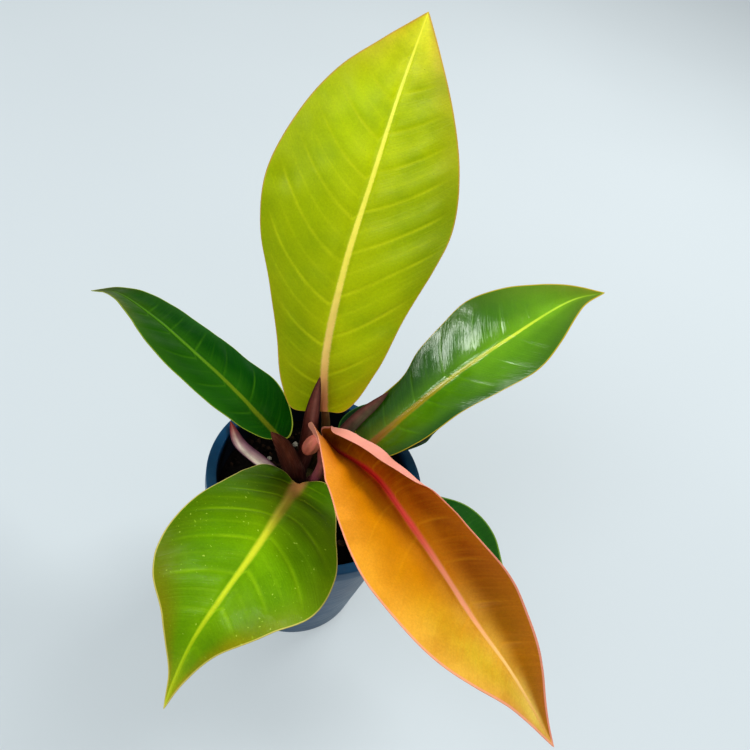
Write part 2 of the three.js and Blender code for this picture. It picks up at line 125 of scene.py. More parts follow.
class Build:
    """Vertices in millimetres, faces, materials and per-vertex values of one object."""

    def __init__(self):
        self.points, self.faces, self.slots = [], [], []
        self.values = {"flat": [], "marks": [], "tone": [], "rib_tone": []}
        self.count = 0

    def add(self, points, faces, slot=0, **values):
        points = np.asarray(points, float).reshape(-1, 3)
        self.points.append(points)
        self.faces += [tuple(int(i) + self.count for i in face) for face in faces]
        self.slots += [slot] * len(faces)
        for name, kept in self.values.items():
            value = np.asarray(values.get(name, (0.0, 0.0, 0.0)), float)
            value = value.reshape(-1, 3) if value.ndim > 1 else value
            kept.append(np.broadcast_to(value, (len(points), 3)))
        self.count += len(points)

    def finish(self, name, materials):
        mesh = bpy.data.meshes.new(name)
        mesh.from_pydata((np.vstack(self.points) * MM).tolist(), [], self.faces)
        mesh.polygons.foreach_set("material_index", self.slots)
        mesh.polygons.foreach_set("use_smooth", [True] * len(self.faces))
        for label, kept in self.values.items():
            layer = mesh.attributes.new(label, "FLOAT_VECTOR", "POINT")
            layer.data.foreach_set("vector", np.vstack(kept).ravel())
        for material in materials:
            mesh.materials.append(material)
        mesh.validate()
        mesh.update()
        piece = bpy.data.objects.new(name, mesh)
        bpy.context.scene.collection.objects.link(piece)
        return piece


def place(piece, slot, *nodes):
    """Sets a finished piece on the plant in the place of its CAD nodes."""
    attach(piece, "root")
    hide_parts(*nodes)


# ---- Node graphs ----------------------------------------------------------------------------
class Graph:
    """A material's node graph, built with one short call per node."""

    def __init__(self, name):
        self.material = bpy.data.materials.new(name)
        self.material.use_nodes = True
        self.nodes = self.material.node_tree.nodes
        self.links = self.material.node_tree.links
        self.shader = self.nodes["Principled BSDF"]

    def wire(self, value, socket):
        if isinstance(value, bpy.types.NodeSocket):
            self.links.new(value, socket)
        elif socket.type == "RGBA":
            socket.default_value = (*value, 1.0)
        else:
            socket.default_value = value

    def attribute(self, name, output):
        node = self.nodes.new("ShaderNodeAttribute")
        node.attribute_name = name
        return node.outputs[output]

    def split(self, vector):
        node = self.nodes.new("ShaderNodeSeparateXYZ")
        self.wire(vector, node.inputs[0])
        return node.outputs

    def join(self, x, y, z):
        node = self.nodes.new("ShaderNodeCombineXYZ")
        for value, socket in zip((x, y, z), node.inputs):
            self.wire(value, socket)
        return node.outputs[0]

    def math(self, operation, first, second=0.0):
        node = self.nodes.new("ShaderNodeMath")
        node.operation = operation
        for value, socket in zip((first, second), node.inputs):
            self.wire(value, socket)
        return node.outputs[0]

    def times(self, first, second):
        return self.math("MULTIPLY", first, second)

    def plus(self, first, second):
        return self.math("ADD", first, second)

    def shaded(self, colour, value):
        """The colour times a value."""
        return self.mix(1.0, colour, self.join(value, value, value), "MULTIPLY")

    def fit(self, value, low, high, out_low=0.0, out_high=1.0):
        node = self.nodes.new("ShaderNodeMapRange")
        node.interpolation_type = "SMOOTHSTEP"
        for item, socket in zip((value, low, high, out_low, out_high), node.inputs):
            self.wire(item, socket)
        return node.outputs[0]

    def mix(self, factor, first, second, blend="MIX"):
        node = self.nodes.new("ShaderNodeMix")
        node.data_type = "RGBA"
        node.blend_type = blend
        self.wire(factor, node.inputs["Factor"])
        self.wire(first, node.inputs[6])
        self.wire(second, node.inputs[7])
        return node.outputs[2]

    def noise(self, vector, scale, detail=3.0, roughness=0.55):
        node = self.nodes.new("ShaderNodeTexNoise")
        self.wire(vector, node.inputs["Vector"])
        node.inputs["Scale"].default_value = scale
        node.inputs["Detail"].default_value = detail
        node.inputs["Roughness"].default_value = roughness
        return node.outputs["Fac"]

    def object_place(self):
        return self.nodes.new("ShaderNodeTexCoord").outputs["Object"]

    def bump(self, height, strength, distance_mm):
        node = self.nodes.new("ShaderNodeBump")
        node.inputs["Strength"].default_value = strength
        node.inputs["Distance"].default_value = distance_mm * MM
        self.wire(height, node.inputs["Height"])
        self.wire(node.outputs["Normal"], self.shader.inputs["Normal"])
        self.wire(node.outputs["Normal"], self.shader.inputs["Coat Normal"])

    def set(self, **inputs):
        for name, value in inputs.items():
            self.wire(value, self.shader.inputs[name.replace("_", " ")])


def leaf_material(name, look):
    """Waxy leaf: painted tone, midrib, lateral veins, mottling, specks, margin line, underside.

    The vertex value "flat" is (along, across, distance from the margin) in millimetres, and
    "marks" is (place on the run of lateral veins in millimetres, distance from the midrib as a
    share of its half width, 0 above and 1 below).
    """
    g = Graph(name)
    _, across, edge = g.split(g.attribute("flat", "Vector"))
    run, rib, under = g.split(g.attribute("marks", "Vector"))
    tone = g.attribute("tone", "Vector")
    rib_tone = g.attribute("rib_tone", "Vector")
    position = g.object_place()
    reach = g.math("ABSOLUTE", across)
    streaks = g.join(run, g.times(across, 0.06), 0.0)

    vein_half = look["vein_half"]
    strong = g.fit(g.math("PINGPONG", run, VEIN_SPACING / 2), 0.0, vein_half, 1.0, 0.0)
    weak = g.fit(g.math("PINGPONG", run, VEIN_SPACING / 4), 0.0, vein_half * 0.8, 1.0, 0.0)
    broken = g.fit(g.noise(position, 55.0, 2.0), 0.3, 0.6, 0.35, 1.0)
    fade = g.times(g.fit(edge, 1.5, 14.0), broken)
    strong = g.times(strong, fade)
    weak = g.times(weak, fade)
    fine = g.fit(g.noise(streaks, look["streak_scale"], 3.0, 0.6), 0.42, 0.7)

    cloud = g.noise(position, 38.0, 4.0, 0.6)
    grain = g.noise(position, 1100.0, 3.0, 0.6)
    colour = g.mix(g.fit(cloud, 0.4, 0.7, 0.0, look["cloud"]), tone, look["cloud_colour"])
    colour = g.mix(g.times(strong, look["vein_mix"]), colour, look["vein_colour"])
    colour = g.mix(g.times(weak, look["vein_mix"] * 0.4), colour, look["vein_colour"])
    colour = g.mix(g.times(fine, look["streak_mix"]), colour, look["streak_colour"])
    colour = g.shaded(colour, g.fit(grain, 0.3, 0.7, 0.94, 1.05))
    ragged = g.plus(rib, g.times(grain, 0.5))
    core = g.fit(ragged, 0.7, look["rib_soft"], 1.0, 0.0)
    core = g.times(core, g.fit(g.noise(position, 150.0, 3.0), 0.3, 0.6, 0.86, 1.0))
    colour = g.mix(core, colour, rib_tone)
    for scale, low, amount, speck in look["specks"]:
        spot = g.fit(g.noise(position, scale, 2.0, 0.5), low, low + 0.03, 0.0, amount)
        colour = g.mix(spot, colour, speck)
    line = g.fit(edge, look["edge_width"] * 0.5, look["edge_width"], look["edge_mix"], 0.0)
    colour = g.mix(line, colour, look["edge_colour"])
    below = g.mix(g.fit(cloud, 0.3, 0.7, 0.0, 0.25), look["under_colour"], tone)
    below = g.mix(g.times(strong, 0.4), below, look["under_vein"])
    below = g.mix(g.fit(reach, 1.0, 3.0, 0.7, 0.0), below, look["under_vein"])
    g.set(Base_Color=g.mix(under, colour, below))

    wear = g.noise(position, 120.0, 3.0)
    polish = g.fit(wear, 0.3, 0.7, look["roughness"] - 0.06, look["roughness"] + 0.08)
    g.set(Roughness=g.plus(polish, g.times(under, 0.15)))
    height = g.plus(g.times(strong, -0.5), g.times(fine, -0.25))
    height = g.plus(height, g.times(g.noise(position, 240.0, 3.0), 0.5))
    g.bump(height, look["relief"], 0.5)
    g.set(Specular_IOR_Level=look["specular"], Coat_Weight=look["coat"], Coat_Roughness=0.13)
    g.set(Subsurface_Weight=0.05, Subsurface_Scale=0.003)
    g.shader.inputs["Subsurface Radius"].default_value = (0.6, 0.9, 0.2)
    return g.material


def fibre_material(name, roughness, streak, streak_mix, relief=0.35):
    """Stalks and sheaths: painted tone with fibres that run lengthwise."""
    g = Graph(name)
    along, across, _ = g.split(g.attribute("flat", "Vector"))
    tone = g.attribute("tone", "Vector")
    fibres = g.noise(g.join(g.times(along, 0.05), across, 0.0), 2.6, 3.0, 0.6)
    blotch = g.noise(g.object_place(), 160.0, 4.0, 0.6)
    colour = g.mix(g.fit(fibres, 0.42, 0.68, 0.0, streak_mix), tone, streak)
    g.set(Base_Color=g.shaded(colour, g.fit(blotch, 0.3, 0.7, 0.8, 1.15)))
    g.set(Roughness=g.fit(blotch, 0.3, 0.7, roughness - 0.06, roughness + 0.1))
    g.bump(g.plus(fibres, g.times(blotch, 0.4)), relief, 0.4)
    g.set(Specular_IOR_Level=0.3)
    return g.material


# ---- Blades ---------------------------------------------------------------------------------
LIP_ANGLE = 168.0  # how far the rolled margin turns back, in degrees
BEND_STEPS = 36  # steps that the bend of a half is added up in


class Blade:
    """The bent surface of a leaf or sheath, in flat coordinates along and across its midrib.

    midrib: points from the crown. face: the side the upper face looks to. left and right: the
    flat outline of each half as (share of length, share of width). fold and edge: the rise of
    each half beside the midrib and at the margin, in degrees, at even places along the blade.
    waves: (side, height in mm, place along, width along) of the swells in its margin.
    lip: (side, width in mm, start, end) of a strip of margin rolled back over the upper face.
    dents: (place along, mm across, depth and size in mm) of the dimples in the upper face.
    """

    def __init__(self, spec):
        self.spec = spec
        self.path, self.lengths = curve_through(np.array(spec["midrib"], float) + CROWN)
        self.length = self.lengths[-1]
        self.tangents = unit(np.gradient(self.path, self.lengths, axis=0))
        self.face = unit(np.array(spec["face"], float))
        self.lip_side, self.lip_width, self.lip_start, self.lip_end = spec.get("lip", (0, 0, 0, 1))
        if self.lip_side:
            shelf = self.margin("left" if self.lip_side < 0 else "right", 400, False)
            self.shelf = shelf[np.argmin(shelf[:, 0]):]

    def lip_at(self, share):
        return self.lip_width * ease((share - self.lip_start) / 0.1) * ease((self.lip_end - share) / 0.22)

    def frame(self, along):
        clipped = np.clip(along, 0, self.length)
        tangent = np.stack([np.interp(clipped, self.lengths, self.tangents[:, k]) for k in range(3)], -1)
        tangent = unit(tangent)
        normal = unit(self.face - (tangent @ self.face)[..., None] * tangent)
        return tangent, normal, np.cross(tangent, normal)

    def at(self, along, across):
        share = np.clip(along / self.length, 0, 1)
        reach = np.abs(across)
        left = across < 0
        fold, edge = (
            np.where(left, keyed(share, self.spec[part + "_left"]), keyed(share, self.spec[part + "_right"]))
            for part in ("fold", "edge"))
        half_width = self.spec["width"] / 2
        outward = np.zeros_like(reach)
        upward = np.zeros_like(reach)
        for step in range(BEND_STEPS):
            distance = reach * (step + 0.5) / BEND_STEPS
            angle = fold + (edge - fold) * np.minimum(distance / half_width, 1.6)
            if self.lip_side:
                crest = np.interp(along, self.shelf[:, 0], self.shelf[:, 1])
                rolled = ease((distance - crest + 2) / 5) * (self.lip_at(share) > 0)
                rolled = rolled * ease(self.lip_at(share) / 3) * (np.sign(across) == self.lip_side)
                angle = angle + (LIP_ANGLE - angle) * rolled
            angle = np.radians(angle)
            outward += np.cos(angle) * reach / BEND_STEPS
            upward += np.sin(angle) * reach / BEND_STEPS
        for side, height, centre, spread in self.spec.get("waves", ()):
            swell = height * (reach / half_width) ** 2 * np.exp(-(((share - centre) / spread) ** 2))
            upward += np.where(np.sign(across) == side, swell, 0)
        _, normal, rightward = self.frame(along)
        point = along_path(self.path, self.lengths, along)
        return point + rightward * (np.sign(across) * outward)[..., None] + normal * upward[..., None]

    def upwards(self, along, across):
        step = 0.4
        forward = self.at(along + step, across) - self.at(along - step, across)
        rightward = self.at(along, across + step) - self.at(along, across - step)
        return unit(np.cross(rightward, forward))

    def margin(self, side, count, with_lip=True):
        width = self.spec["width"]
        inner = [(a * self.length, b * width) for a, b in self.spec[side]]
        flat = [(0, 0)] + inner + [(self.length, 0)]
        path, lengths = curve_through(flat, 600)
        even = np.linspace(0, lengths[-1], count)
        edge = np.stack([np.interp(even, lengths, path[:, k]) for k in range(2)], -1)
        if with_lip and self.lip_side == (-1 if side == "left" else 1):
            edge[:, 1] += self.lip_at(edge[:, 0] / self.length)
        return edge


def blade_grid(blade, rows, columns):
    """Flat coordinates of a blade's grid: along, signed across, and distance from the margin."""
    start = (blade.length * np.linspace(0, 1, rows + 1) ** 1.45)[:, None]
    halves = []
    for sign, side in ((-1, "left"), (1, "right")):
        margin = blade.margin(side, rows + 1)
        share = (np.linspace(0, 1, columns + 1) ** 1.2)[None, :]
        along = start + (margin[:, :1] - start) * share**1.5
        across = margin[:, 1:] * share
        edge = np.hypot(margin[:, 1:] - across, (margin[:, :1] - along) * 0.5)
        halves.append((along, sign * across, edge))
    return [np.hstack([left[:, :0:-1], right]) for left, right in zip(*halves)]


def grid_faces(rows, columns, flip=False):
    faces = []
    for row in range(rows):
        for column in range(columns):
            a = row * (columns + 1) + column
            quad = (a, a + 1, a + columns + 2, a + columns + 1)
            faces.append(quad[::-1] if flip else quad)
    return faces


def paint(blade, along, across, edge):
    """Colour of each point from the leaf's table of tones: rows run from the base to the tip,
    columns from the left margin to the right."""
    share = np.clip(along / blade.length, 0, 1)
    side = np.clip(across / np.maximum(np.abs(across) + edge, 1e-6), -1, 1)
    table = np.array([[srgb(*colour) for colour in row] for row in blade.spec["tones"]])
    columns = table.shape[1]
    rows_at = keyed(share, table.reshape(len(table), -1)).reshape(share.shape + (columns, 3))
    place_across = (side + 1) / 2 * (columns - 1)
    index = np.minimum(place_across.astype(int), columns - 2)
    blend = ease(place_across - index)[..., None]
    low = np.take_along_axis(rows_at, index[..., None, None], -2)[..., 0, :]
    high = np.take_along_axis(rows_at, (index + 1)[..., None, None], -2)[..., 0, :]
    return low * (1 - blend) + high * blend


VEIN_SPACING = 20.0  # millimetres between strong lateral veins


def vein_run(along, across, seed):
    """Place on the run of lateral veins, which leave the midrib at a slant and sweep forward."""
    reach = np.abs(across)
    shift = np.where(across < 0, 5.0, 0.0) * ease(reach / 3)
    wander = 2.0 * ripple(along, across, 70, seed)
    return 200.0 + along - 0.42 * reach - 0.011 * reach**2 + shift + wander


def relief(blade, along, across, edge, run, seed):
    """Small height of the upper face: midrib, its channels, veins and gentle unevenness."""
    share = np.clip(along / blade.length, 0, 1)
    reach = np.abs(across)
    taper = np.maximum(1 - share, 0.03) ** 0.6
    width = keyed(share, blade.spec["rib_width"])
    ridge = 0.5 * np.exp(-((reach / (0.7 * width)) ** 2))
    ridge -= 0.4 * np.exp(-(((reach - 1.6 * width) / width) ** 2))
    groove = np.maximum(np.cos(2 * math.pi * run / VEIN_SPACING), 0) ** 24
    groove += 0.5 * np.maximum(np.cos(4 * math.pi * run / VEIN_SPACING), 0) ** 24
    inside = ease(edge / 12) * ease(reach / 5)
    uneven = ripple(along, across, 42, seed + 1) + 0.4 * ripple(along, across, 17, seed + 2)
    swell = 0.35 * np.sin(2 * math.pi * run / VEIN_SPACING) * inside
    dents = 0.0
    for dent_share, dent_across, depth, size in blade.spec.get("dents", ()):
        away = np.hypot(along - dent_share * blade.length, across - dent_across)
        dents = dents + depth * np.exp(-((away / size) ** 2))
    return ridge * taper - 0.2 * groove * inside + 0.5 * uneven * ease(reach / 10) + swell - dents


def add_blade(build, spec, rows, columns, thickness, rib_height, rib_half_width, seed, strength=1.0):
    blade = Blade(spec)
    along, across, edge = blade_grid(blade, rows, columns)
    points = blade.at(along, across)
    up = blade.upwards(along, across)
    run = vein_run(along, across, seed)
    high = relief(blade, along, across, edge, run, seed) * strength * spec.get("uneven", 1.0)
    share = np.clip(along / blade.length, 0, 1)
    taper = np.maximum(1 - share, 0) ** 0.8
    rib = rib_height * taper * np.exp(-((across / rib_half_width) ** 2))
    body = thickness * (0.45 + 0.55 * ease(edge / 4))
    upper = points + up * high[..., None]
    lower = points + up * (0.8 * high - body - rib)[..., None]
    flat = np.stack([along, across, edge], -1)
    tone = paint(blade, along, across, edge)
    rib_tone = keyed(share, np.array([srgb(*colour) for colour in spec["rib_tones"]]))
    rib_share = np.abs(across) / keyed(share, spec["rib_width"])
    above = np.stack([run, rib_share, np.zeros_like(run)], -1)
    below = np.stack([run, rib_share, np.ones_like(run)], -1)
    wide = 2 * columns
    build.add(upper, grid_faces(rows, wide), 0, flat=flat, marks=above, tone=tone, rib_tone=rib_tone)
    build.add(lower, grid_faces(rows, wide, True), 0, flat=flat, marks=below, tone=tone, rib_tone=rib_tone)
    # A rounded strip closes each margin.
    for column, inner, flip in ((0, 1, True), (wide, wide - 1, False)):
        outward = unit(points[:, column] - points[:, inner])
        middle = (upper[:, column] + lower[:, column]) / 2 + outward * 0.3 * thickness
        strip = np.stack([upper[:, column], middle, lower[:, column]], 1)
        values = {"flat": flat, "tone": tone, "rib_tone": rib_tone, "marks": above}
        values = {label: np.repeat(value[:, column][:, None], 3, 1) for label, value in values.items()}
        values["marks"][:, 2, 2] = 1.0
        build.add(strip, grid_faces(rows, 2, flip), 0, **values)
    return blade


def add_limb(build, points, radii, tones, slot, rings=46, sides=20, groove=0.0):
    """A round stalk along a curve, a little flattened on its inner side, with closed ends."""
    path, lengths = curve_through(points, 160)
    distance = np.linspace(0, lengths[-1], rings + 1)
    centre = along_path(path, lengths, distance)
    tangents = unit(np.gradient(centre, axis=0))
    normal = unit(np.cross(tangents[0], [0.3, 0.9, 0.1]))
    frames = []
    for tangent in tangents:
        normal = unit(normal - tangent * (normal @ tangent))
        frames.append((normal, np.cross(tangent, normal)))
    angle = np.linspace(0, 2 * math.pi, sides, endpoint=False)
    share = np.linspace(0, 1, rings + 1)
    channel = 1 - groove * np.exp(-(((angle - math.pi) / 0.5) ** 2))
    radius = keyed(share, radii)[:, None] * channel[None, :]
    normals = np.array([f[0] for f in frames])[:, None]
    binormals = np.array([f[1] for f in frames])[:, None]
    ring = centre[:, None] + radius[..., None] * (
        normals * np.cos(angle)[None, :, None] + binormals * np.sin(angle)[None, :, None])
    faces = []
    for row in range(rings):
        for side in range(sides):
            a, b = row * sides + side, row * sides + (side + 1) % sides
            faces.append((a, b, b + sides, a + sides))
    faces.append(tuple(range(sides - 1, -1, -1)))
    faces.append(tuple(rings * sides + side for side in range(sides)))
    flat = np.stack(np.broadcast_arrays(distance[:, None], angle[None, :] * 2.5, 5.0), -1)
    tone = keyed(share, np.array([srgb(*colour) for colour in tones]))
    tone = np.repeat(tone[:, None], sides, 1)
    build.add(ring, faces, slot, flat=flat, tone=tone)


# ---- Leaves ---------------------------------------------------------------------------------
PETIOLE_RADIUS = 2.5
PETIOLE_TAPER = (1.3, 1.1, 1.0, 0.75)  # shares of the radius from the stem to the blade
LEAF_LOOK = dict(
    vein_half=1.3, vein_mix=0.3, vein_colour=srgb(200, 210, 40),
    streak_scale=0.9, streak_mix=0.1, streak_colour=srgb(150, 170, 20), cloud=0.25,
    cloud_colour=srgb(90, 130, 0), specks=(), rib_soft=1.25, edge_width=0.9, edge_mix=0.85,
    edge_colour=srgb(215, 190, 70), under_colour=srgb(130, 150, 50), under_vein=srgb(190, 200, 90),
    roughness=0.42, specular=0.16, relief=0.3, coat=0.0,
)

LEAVES = {}
LEAVES["leaf_top"] = dict(
    midrib=[(-6, 1, 52), (-13, 11, 79), (-17, 33, 119), (-17.5, 60, 153), (-18, 86, 181), (-17, 114, 211)],
    face=(0.05, -0.8, 0.6), width=94,
    left=[(0, 0.09), (0.01, 0.17), (0.08, 0.22), (0.18, 0.26), (0.29, 0.34), (0.42, 0.46),
          (0.54, 0.5), (0.67, 0.45), (0.8, 0.33), (0.9, 0.17)],
    right=[(0, 0.09), (0.04, 0.18), (0.14, 0.28), (0.3, 0.36), (0.43, 0.43), (0.54, 0.46),
           (0.67, 0.4), (0.8, 0.28), (0.9, 0.15)],
    fold_left=[8, 6, 4], edge_left=[0], fold_right=[8, 6, 4], edge_right=[0],
    waves=[(-1, 2.5, 0.5, 0.08), (-1, -2, 0.36, 0.07), (1, 2, 0.42, 0.09), (1, -1.5, 0.6, 0.08)],
    dents=[(0.53, -39, 2.2, 7), (0.27, 25, 2.4, 8), (0.36, -17, 1.2, 9)],
    petiole=[(-5.5, 2, -8), (-4.5, 6.5, 3), (-2.6, 9, 22), (-4, 6.6, 38)],
    tones=[[(158, 162, 5), (142, 150, 0), (140, 138, 5), (148, 154, 0), (165, 160, 8)],
           [(146, 156, 4), (146, 162, 0), (172, 184, 0), (170, 186, 0), (152, 162, 2)],
           [(156, 172, 2), (164, 182, 0), (176, 190, 0), (164, 182, 0), (134, 148, 0)],
           [(176, 190, 6), (184, 204, 2), (196, 212, 3), (180, 196, 0), (172, 178, 10)],
           [(222, 198, 40), (230, 222, 35), (250, 246, 60), (246, 238, 50), (226, 200, 60)]],
    rib_tones=[(205, 140, 95), (238, 205, 118), (252, 236, 100), (252, 244, 95), (252, 252, 100),
               (248, 240, 60)],
    rib_width=[2.7, 2.4, 1.9, 1.4, 1.0, 0.4],
    stalk=[(36, 26, 14), (48, 38, 16), (66, 48, 22), (120, 80, 50)],
    look=dict(vein_colour=srgb(215, 222, 30), vein_mix=0.34, vein_half=1.7, cloud=0.4,
              cloud_colour=srgb(120, 148, 0), streak_colour=srgb(185, 198, 10), streak_mix=0.12,
              edge_colour=srgb(200, 150, 70), edge_width=0.6, edge_mix=0.65,
              under_colour=srgb(170, 175, 50), specks=[(420.0, 0.77, 0.6, srgb(60, 60, 0))]),
)
LEAVES["leaf_left"] = dict(
    midrib=[(-27, -3, 27), (-55, 5, 42), (-81, 13, 51), (-107, 28, 49), (-138, 46, 40), (-159, 55, 26)],
    face=(0.1, -0.1, 1), width=62,
    left=[(0, 0.08), (0.03, 0.17), (0.12, 0.29), (0.27, 0.38), (0.42, 0.37), (0.6, 0.26),
          (0.78, 0.14), (0.91, 0.06)],
    right=[(-0.04, 0.06), (-0.02, 0.17), (0.06, 0.3), (0.17, 0.41), (0.33, 0.4), (0.52, 0.335),
           (0.74, 0.23), (0.9, 0.08)],
    fold_left=[22, 26, 28], edge_left=[22, 26, 28],
    fold_right=[15, -8, -12, -8, 0], edge_right=[5, -35, -35, -20, -5],
    petiole=[(-5, 0, -10), (-13, 2.5, -5), (-19, 2, 5), (-24, -1, 18)],
    tones=[[(26, 80, 4), (16, 70, 2), (16, 60, 2), (5, 56, 1), (4, 46, 1)],
           [(44, 104, 6), (32, 92, 3), (40, 96, 6), (6, 68, 1), (10, 70, 3)],
           [(56, 102, 10), (34, 84, 2), (42, 92, 6), (10, 68, 1), (28, 84, 8)],
           [(84, 98, 14), (50, 86, 3), (52, 90, 3), (26, 74, 2), (34, 74, 3)],
           [(110, 95, 30), (90, 90, 15), (85, 88, 12), (80, 82, 12), (80, 70, 20)]],
    rib_tones=[(90, 95, 15), (105, 130, 20), (95, 140, 30), (85, 135, 30), (72, 115, 10), (70, 80, 15)],
    rib_width=[2.2, 1.7, 1.3, 0.9, 0.6, 0.3],
    stalk=[(60, 30, 20), (80, 50, 25), (95, 70, 25), (100, 95, 25)],
    look=dict(vein_colour=srgb(85, 140, 20), vein_mix=0.25, cloud_colour=srgb(15, 75, 0),
              streak_colour=srgb(60, 115, 5), edge_colour=srgb(170, 180, 70),
              under_colour=srgb(90, 125, 45), specular=0.1, roughness=0.44, edge_width=0.6, edge_mix=0.6),
)
LEAVES["leaf_right"] = dict(
    uneven=0.45,
    midrib=[(21, 8, 27), (33, 21, 43), (52, 42, 64), (74, 68, 78), (106, 108, 89), (124, 121, 92)],
    face=(-0.1, -0.35, 1), width=76,
    left=[(0, 0.12), (0.04, 0.2), (0.13, 0.21), (0.23, 0.22), (0.31, 0.29), (0.42, 0.35),
          (0.54, 0.4), (0.68, 0.34), (0.8, 0.22), (0.91, 0.09)],
    right=[(0, 0.08), (0.04, 0.16), (0.15, 0.23), (0.3, 0.25), (0.44, 0.3), (0.57, 0.32),
           (0.7, 0.25), (0.82, 0.15), (0.92, 0.06)],
    fold_left=[15, 10, 10], edge_left=[0], fold_right=[15, 10, 10], edge_right=[0],
    waves=[(-1, 2, 0.3, 0.07), (1, -1.5, 0.35, 0.08)],
    petiole=[(-5, 0, -6), (3.5, 3.5, -2), (12, 3.5, 10), (18, 5.5, 21)],
    tones=[[(60, 95, 10), (54, 97, 5), (110, 125, 12), (85, 115, 5), (60, 100, 20)],
           [(38, 80, 6), (40, 92, 3), (85, 135, 8), (75, 122, 3), (32, 82, 3)],
           [(70, 110, 8), (62, 116, 4), (110, 162, 14), (90, 142, 3), (58, 104, 3)],
           [(95, 130, 8), (95, 142, 4), (120, 172, 18), (88, 134, 3), (68, 108, 3)],
           [(125, 130, 30), (110, 130, 15), (110, 140, 10), (95, 125, 8), (105, 115, 20)]],
    rib_tones=[(150, 100, 40), (158, 140, 25), (165, 170, 25), (205, 222, 60), (180, 215, 50),
               (105, 140, 5)],
    rib_width=[2.9, 2.1, 1.5, 1.1, 0.7, 0.3],
    stalk=[(70, 40, 20), (110, 70, 30), (140, 95, 35), (160, 112, 45)],
    look=dict(vein_colour=srgb(110, 165, 20), vein_mix=0.25, cloud_colour=srgb(35, 95, 0),
              streak_colour=srgb(90, 145, 5), edge_colour=srgb(190, 165, 30), edge_width=0.6,
              under_colour=srgb(105, 135, 45), coat=1.0, roughness=0.36, specular=0.1, relief=0.3),
)
LEAVES["leaf_front"] = dict(
    midrib=[(-7, -22, 17), (-9, -50, 34), (-13, -84, 46), (-18, -106, 45), (-23, -122, 35),
            (-26, -134, 15), (-27, -140, 1)],
    face=(0, -0.25, 1), width=80,
    left=[(-0.06, 0.04), (-0.1, 0.13), (-0.05, 0.22), (0.08, 0.28), (0.25, 0.36), (0.42, 0.46),
          (0.53, 0.45), (0.63, 0.3), (0.75, 0.14), (0.88, 0.05)],
    right=[(-0.02, 0.05), (-0.04, 0.15), (-0.02, 0.25), (0.08, 0.33), (0.25, 0.39), (0.43, 0.45),
           (0.57, 0.44), (0.66, 0.37), (0.74, 0.19), (0.86, 0.05)],
    fold_left=[8, 6, 4], edge_left=[0], fold_right=[8, 6, 4], edge_right=[0],
    waves=[(-1, -1.5, 0.1, 0.08), (1, 2, 0.3, 0.1)],
    petiole=[(-5, 0, -11), (-6, -9, -7), (-6.6, -15, 2), (-7, -20, 12)],
    tones=[[(70, 105, 4), (62, 98, 0), (105, 115, 10), (62, 92, 0), (75, 108, 2)],
           [(96, 130, 4), (94, 132, 0), (112, 148, 2), (88, 124, 0), (80, 118, 0)],
           [(112, 146, 4), (108, 152, 0), (116, 162, 2), (100, 146, 0), (84, 112, 0)],
           [(150, 140, 12), (114, 154, 0), (118, 162, 0), (106, 148, 0), (128, 128, 8)],
           [(172, 150, 35), (165, 168, 12), (186, 196, 18), (166, 168, 14), (172, 150, 35)]],
    rib_tones=[(176, 126, 80), (180, 168, 62), (205, 210, 55), (200, 214, 45), (176, 200, 20),
               (190, 195, 40)],
    rib_width=[2.5, 1.7, 1.1, 0.75, 0.5, 0.3],
    stalk=[(60, 32, 22), (105, 60, 40), (150, 95, 65), (200, 145, 100)],
    look=dict(vein_colour=srgb(150, 190, 20), vein_mix=0.38, vein_half=2.0, cloud=0.5,
              cloud_colour=srgb(78, 122, 0), streak_colour=srgb(125, 160, 5),
              edge_colour=srgb(214, 198, 112), edge_width=0.5, edge_mix=0.75,
              under_colour=srgb(135, 155, 50), rib_soft=2.4, specular=0.1, coat=0.05,
              specks=[(520.0, 0.71, 0.6, srgb(190, 215, 90)), (900.0, 0.7, 0.4, srgb(170, 205, 60))]),
)
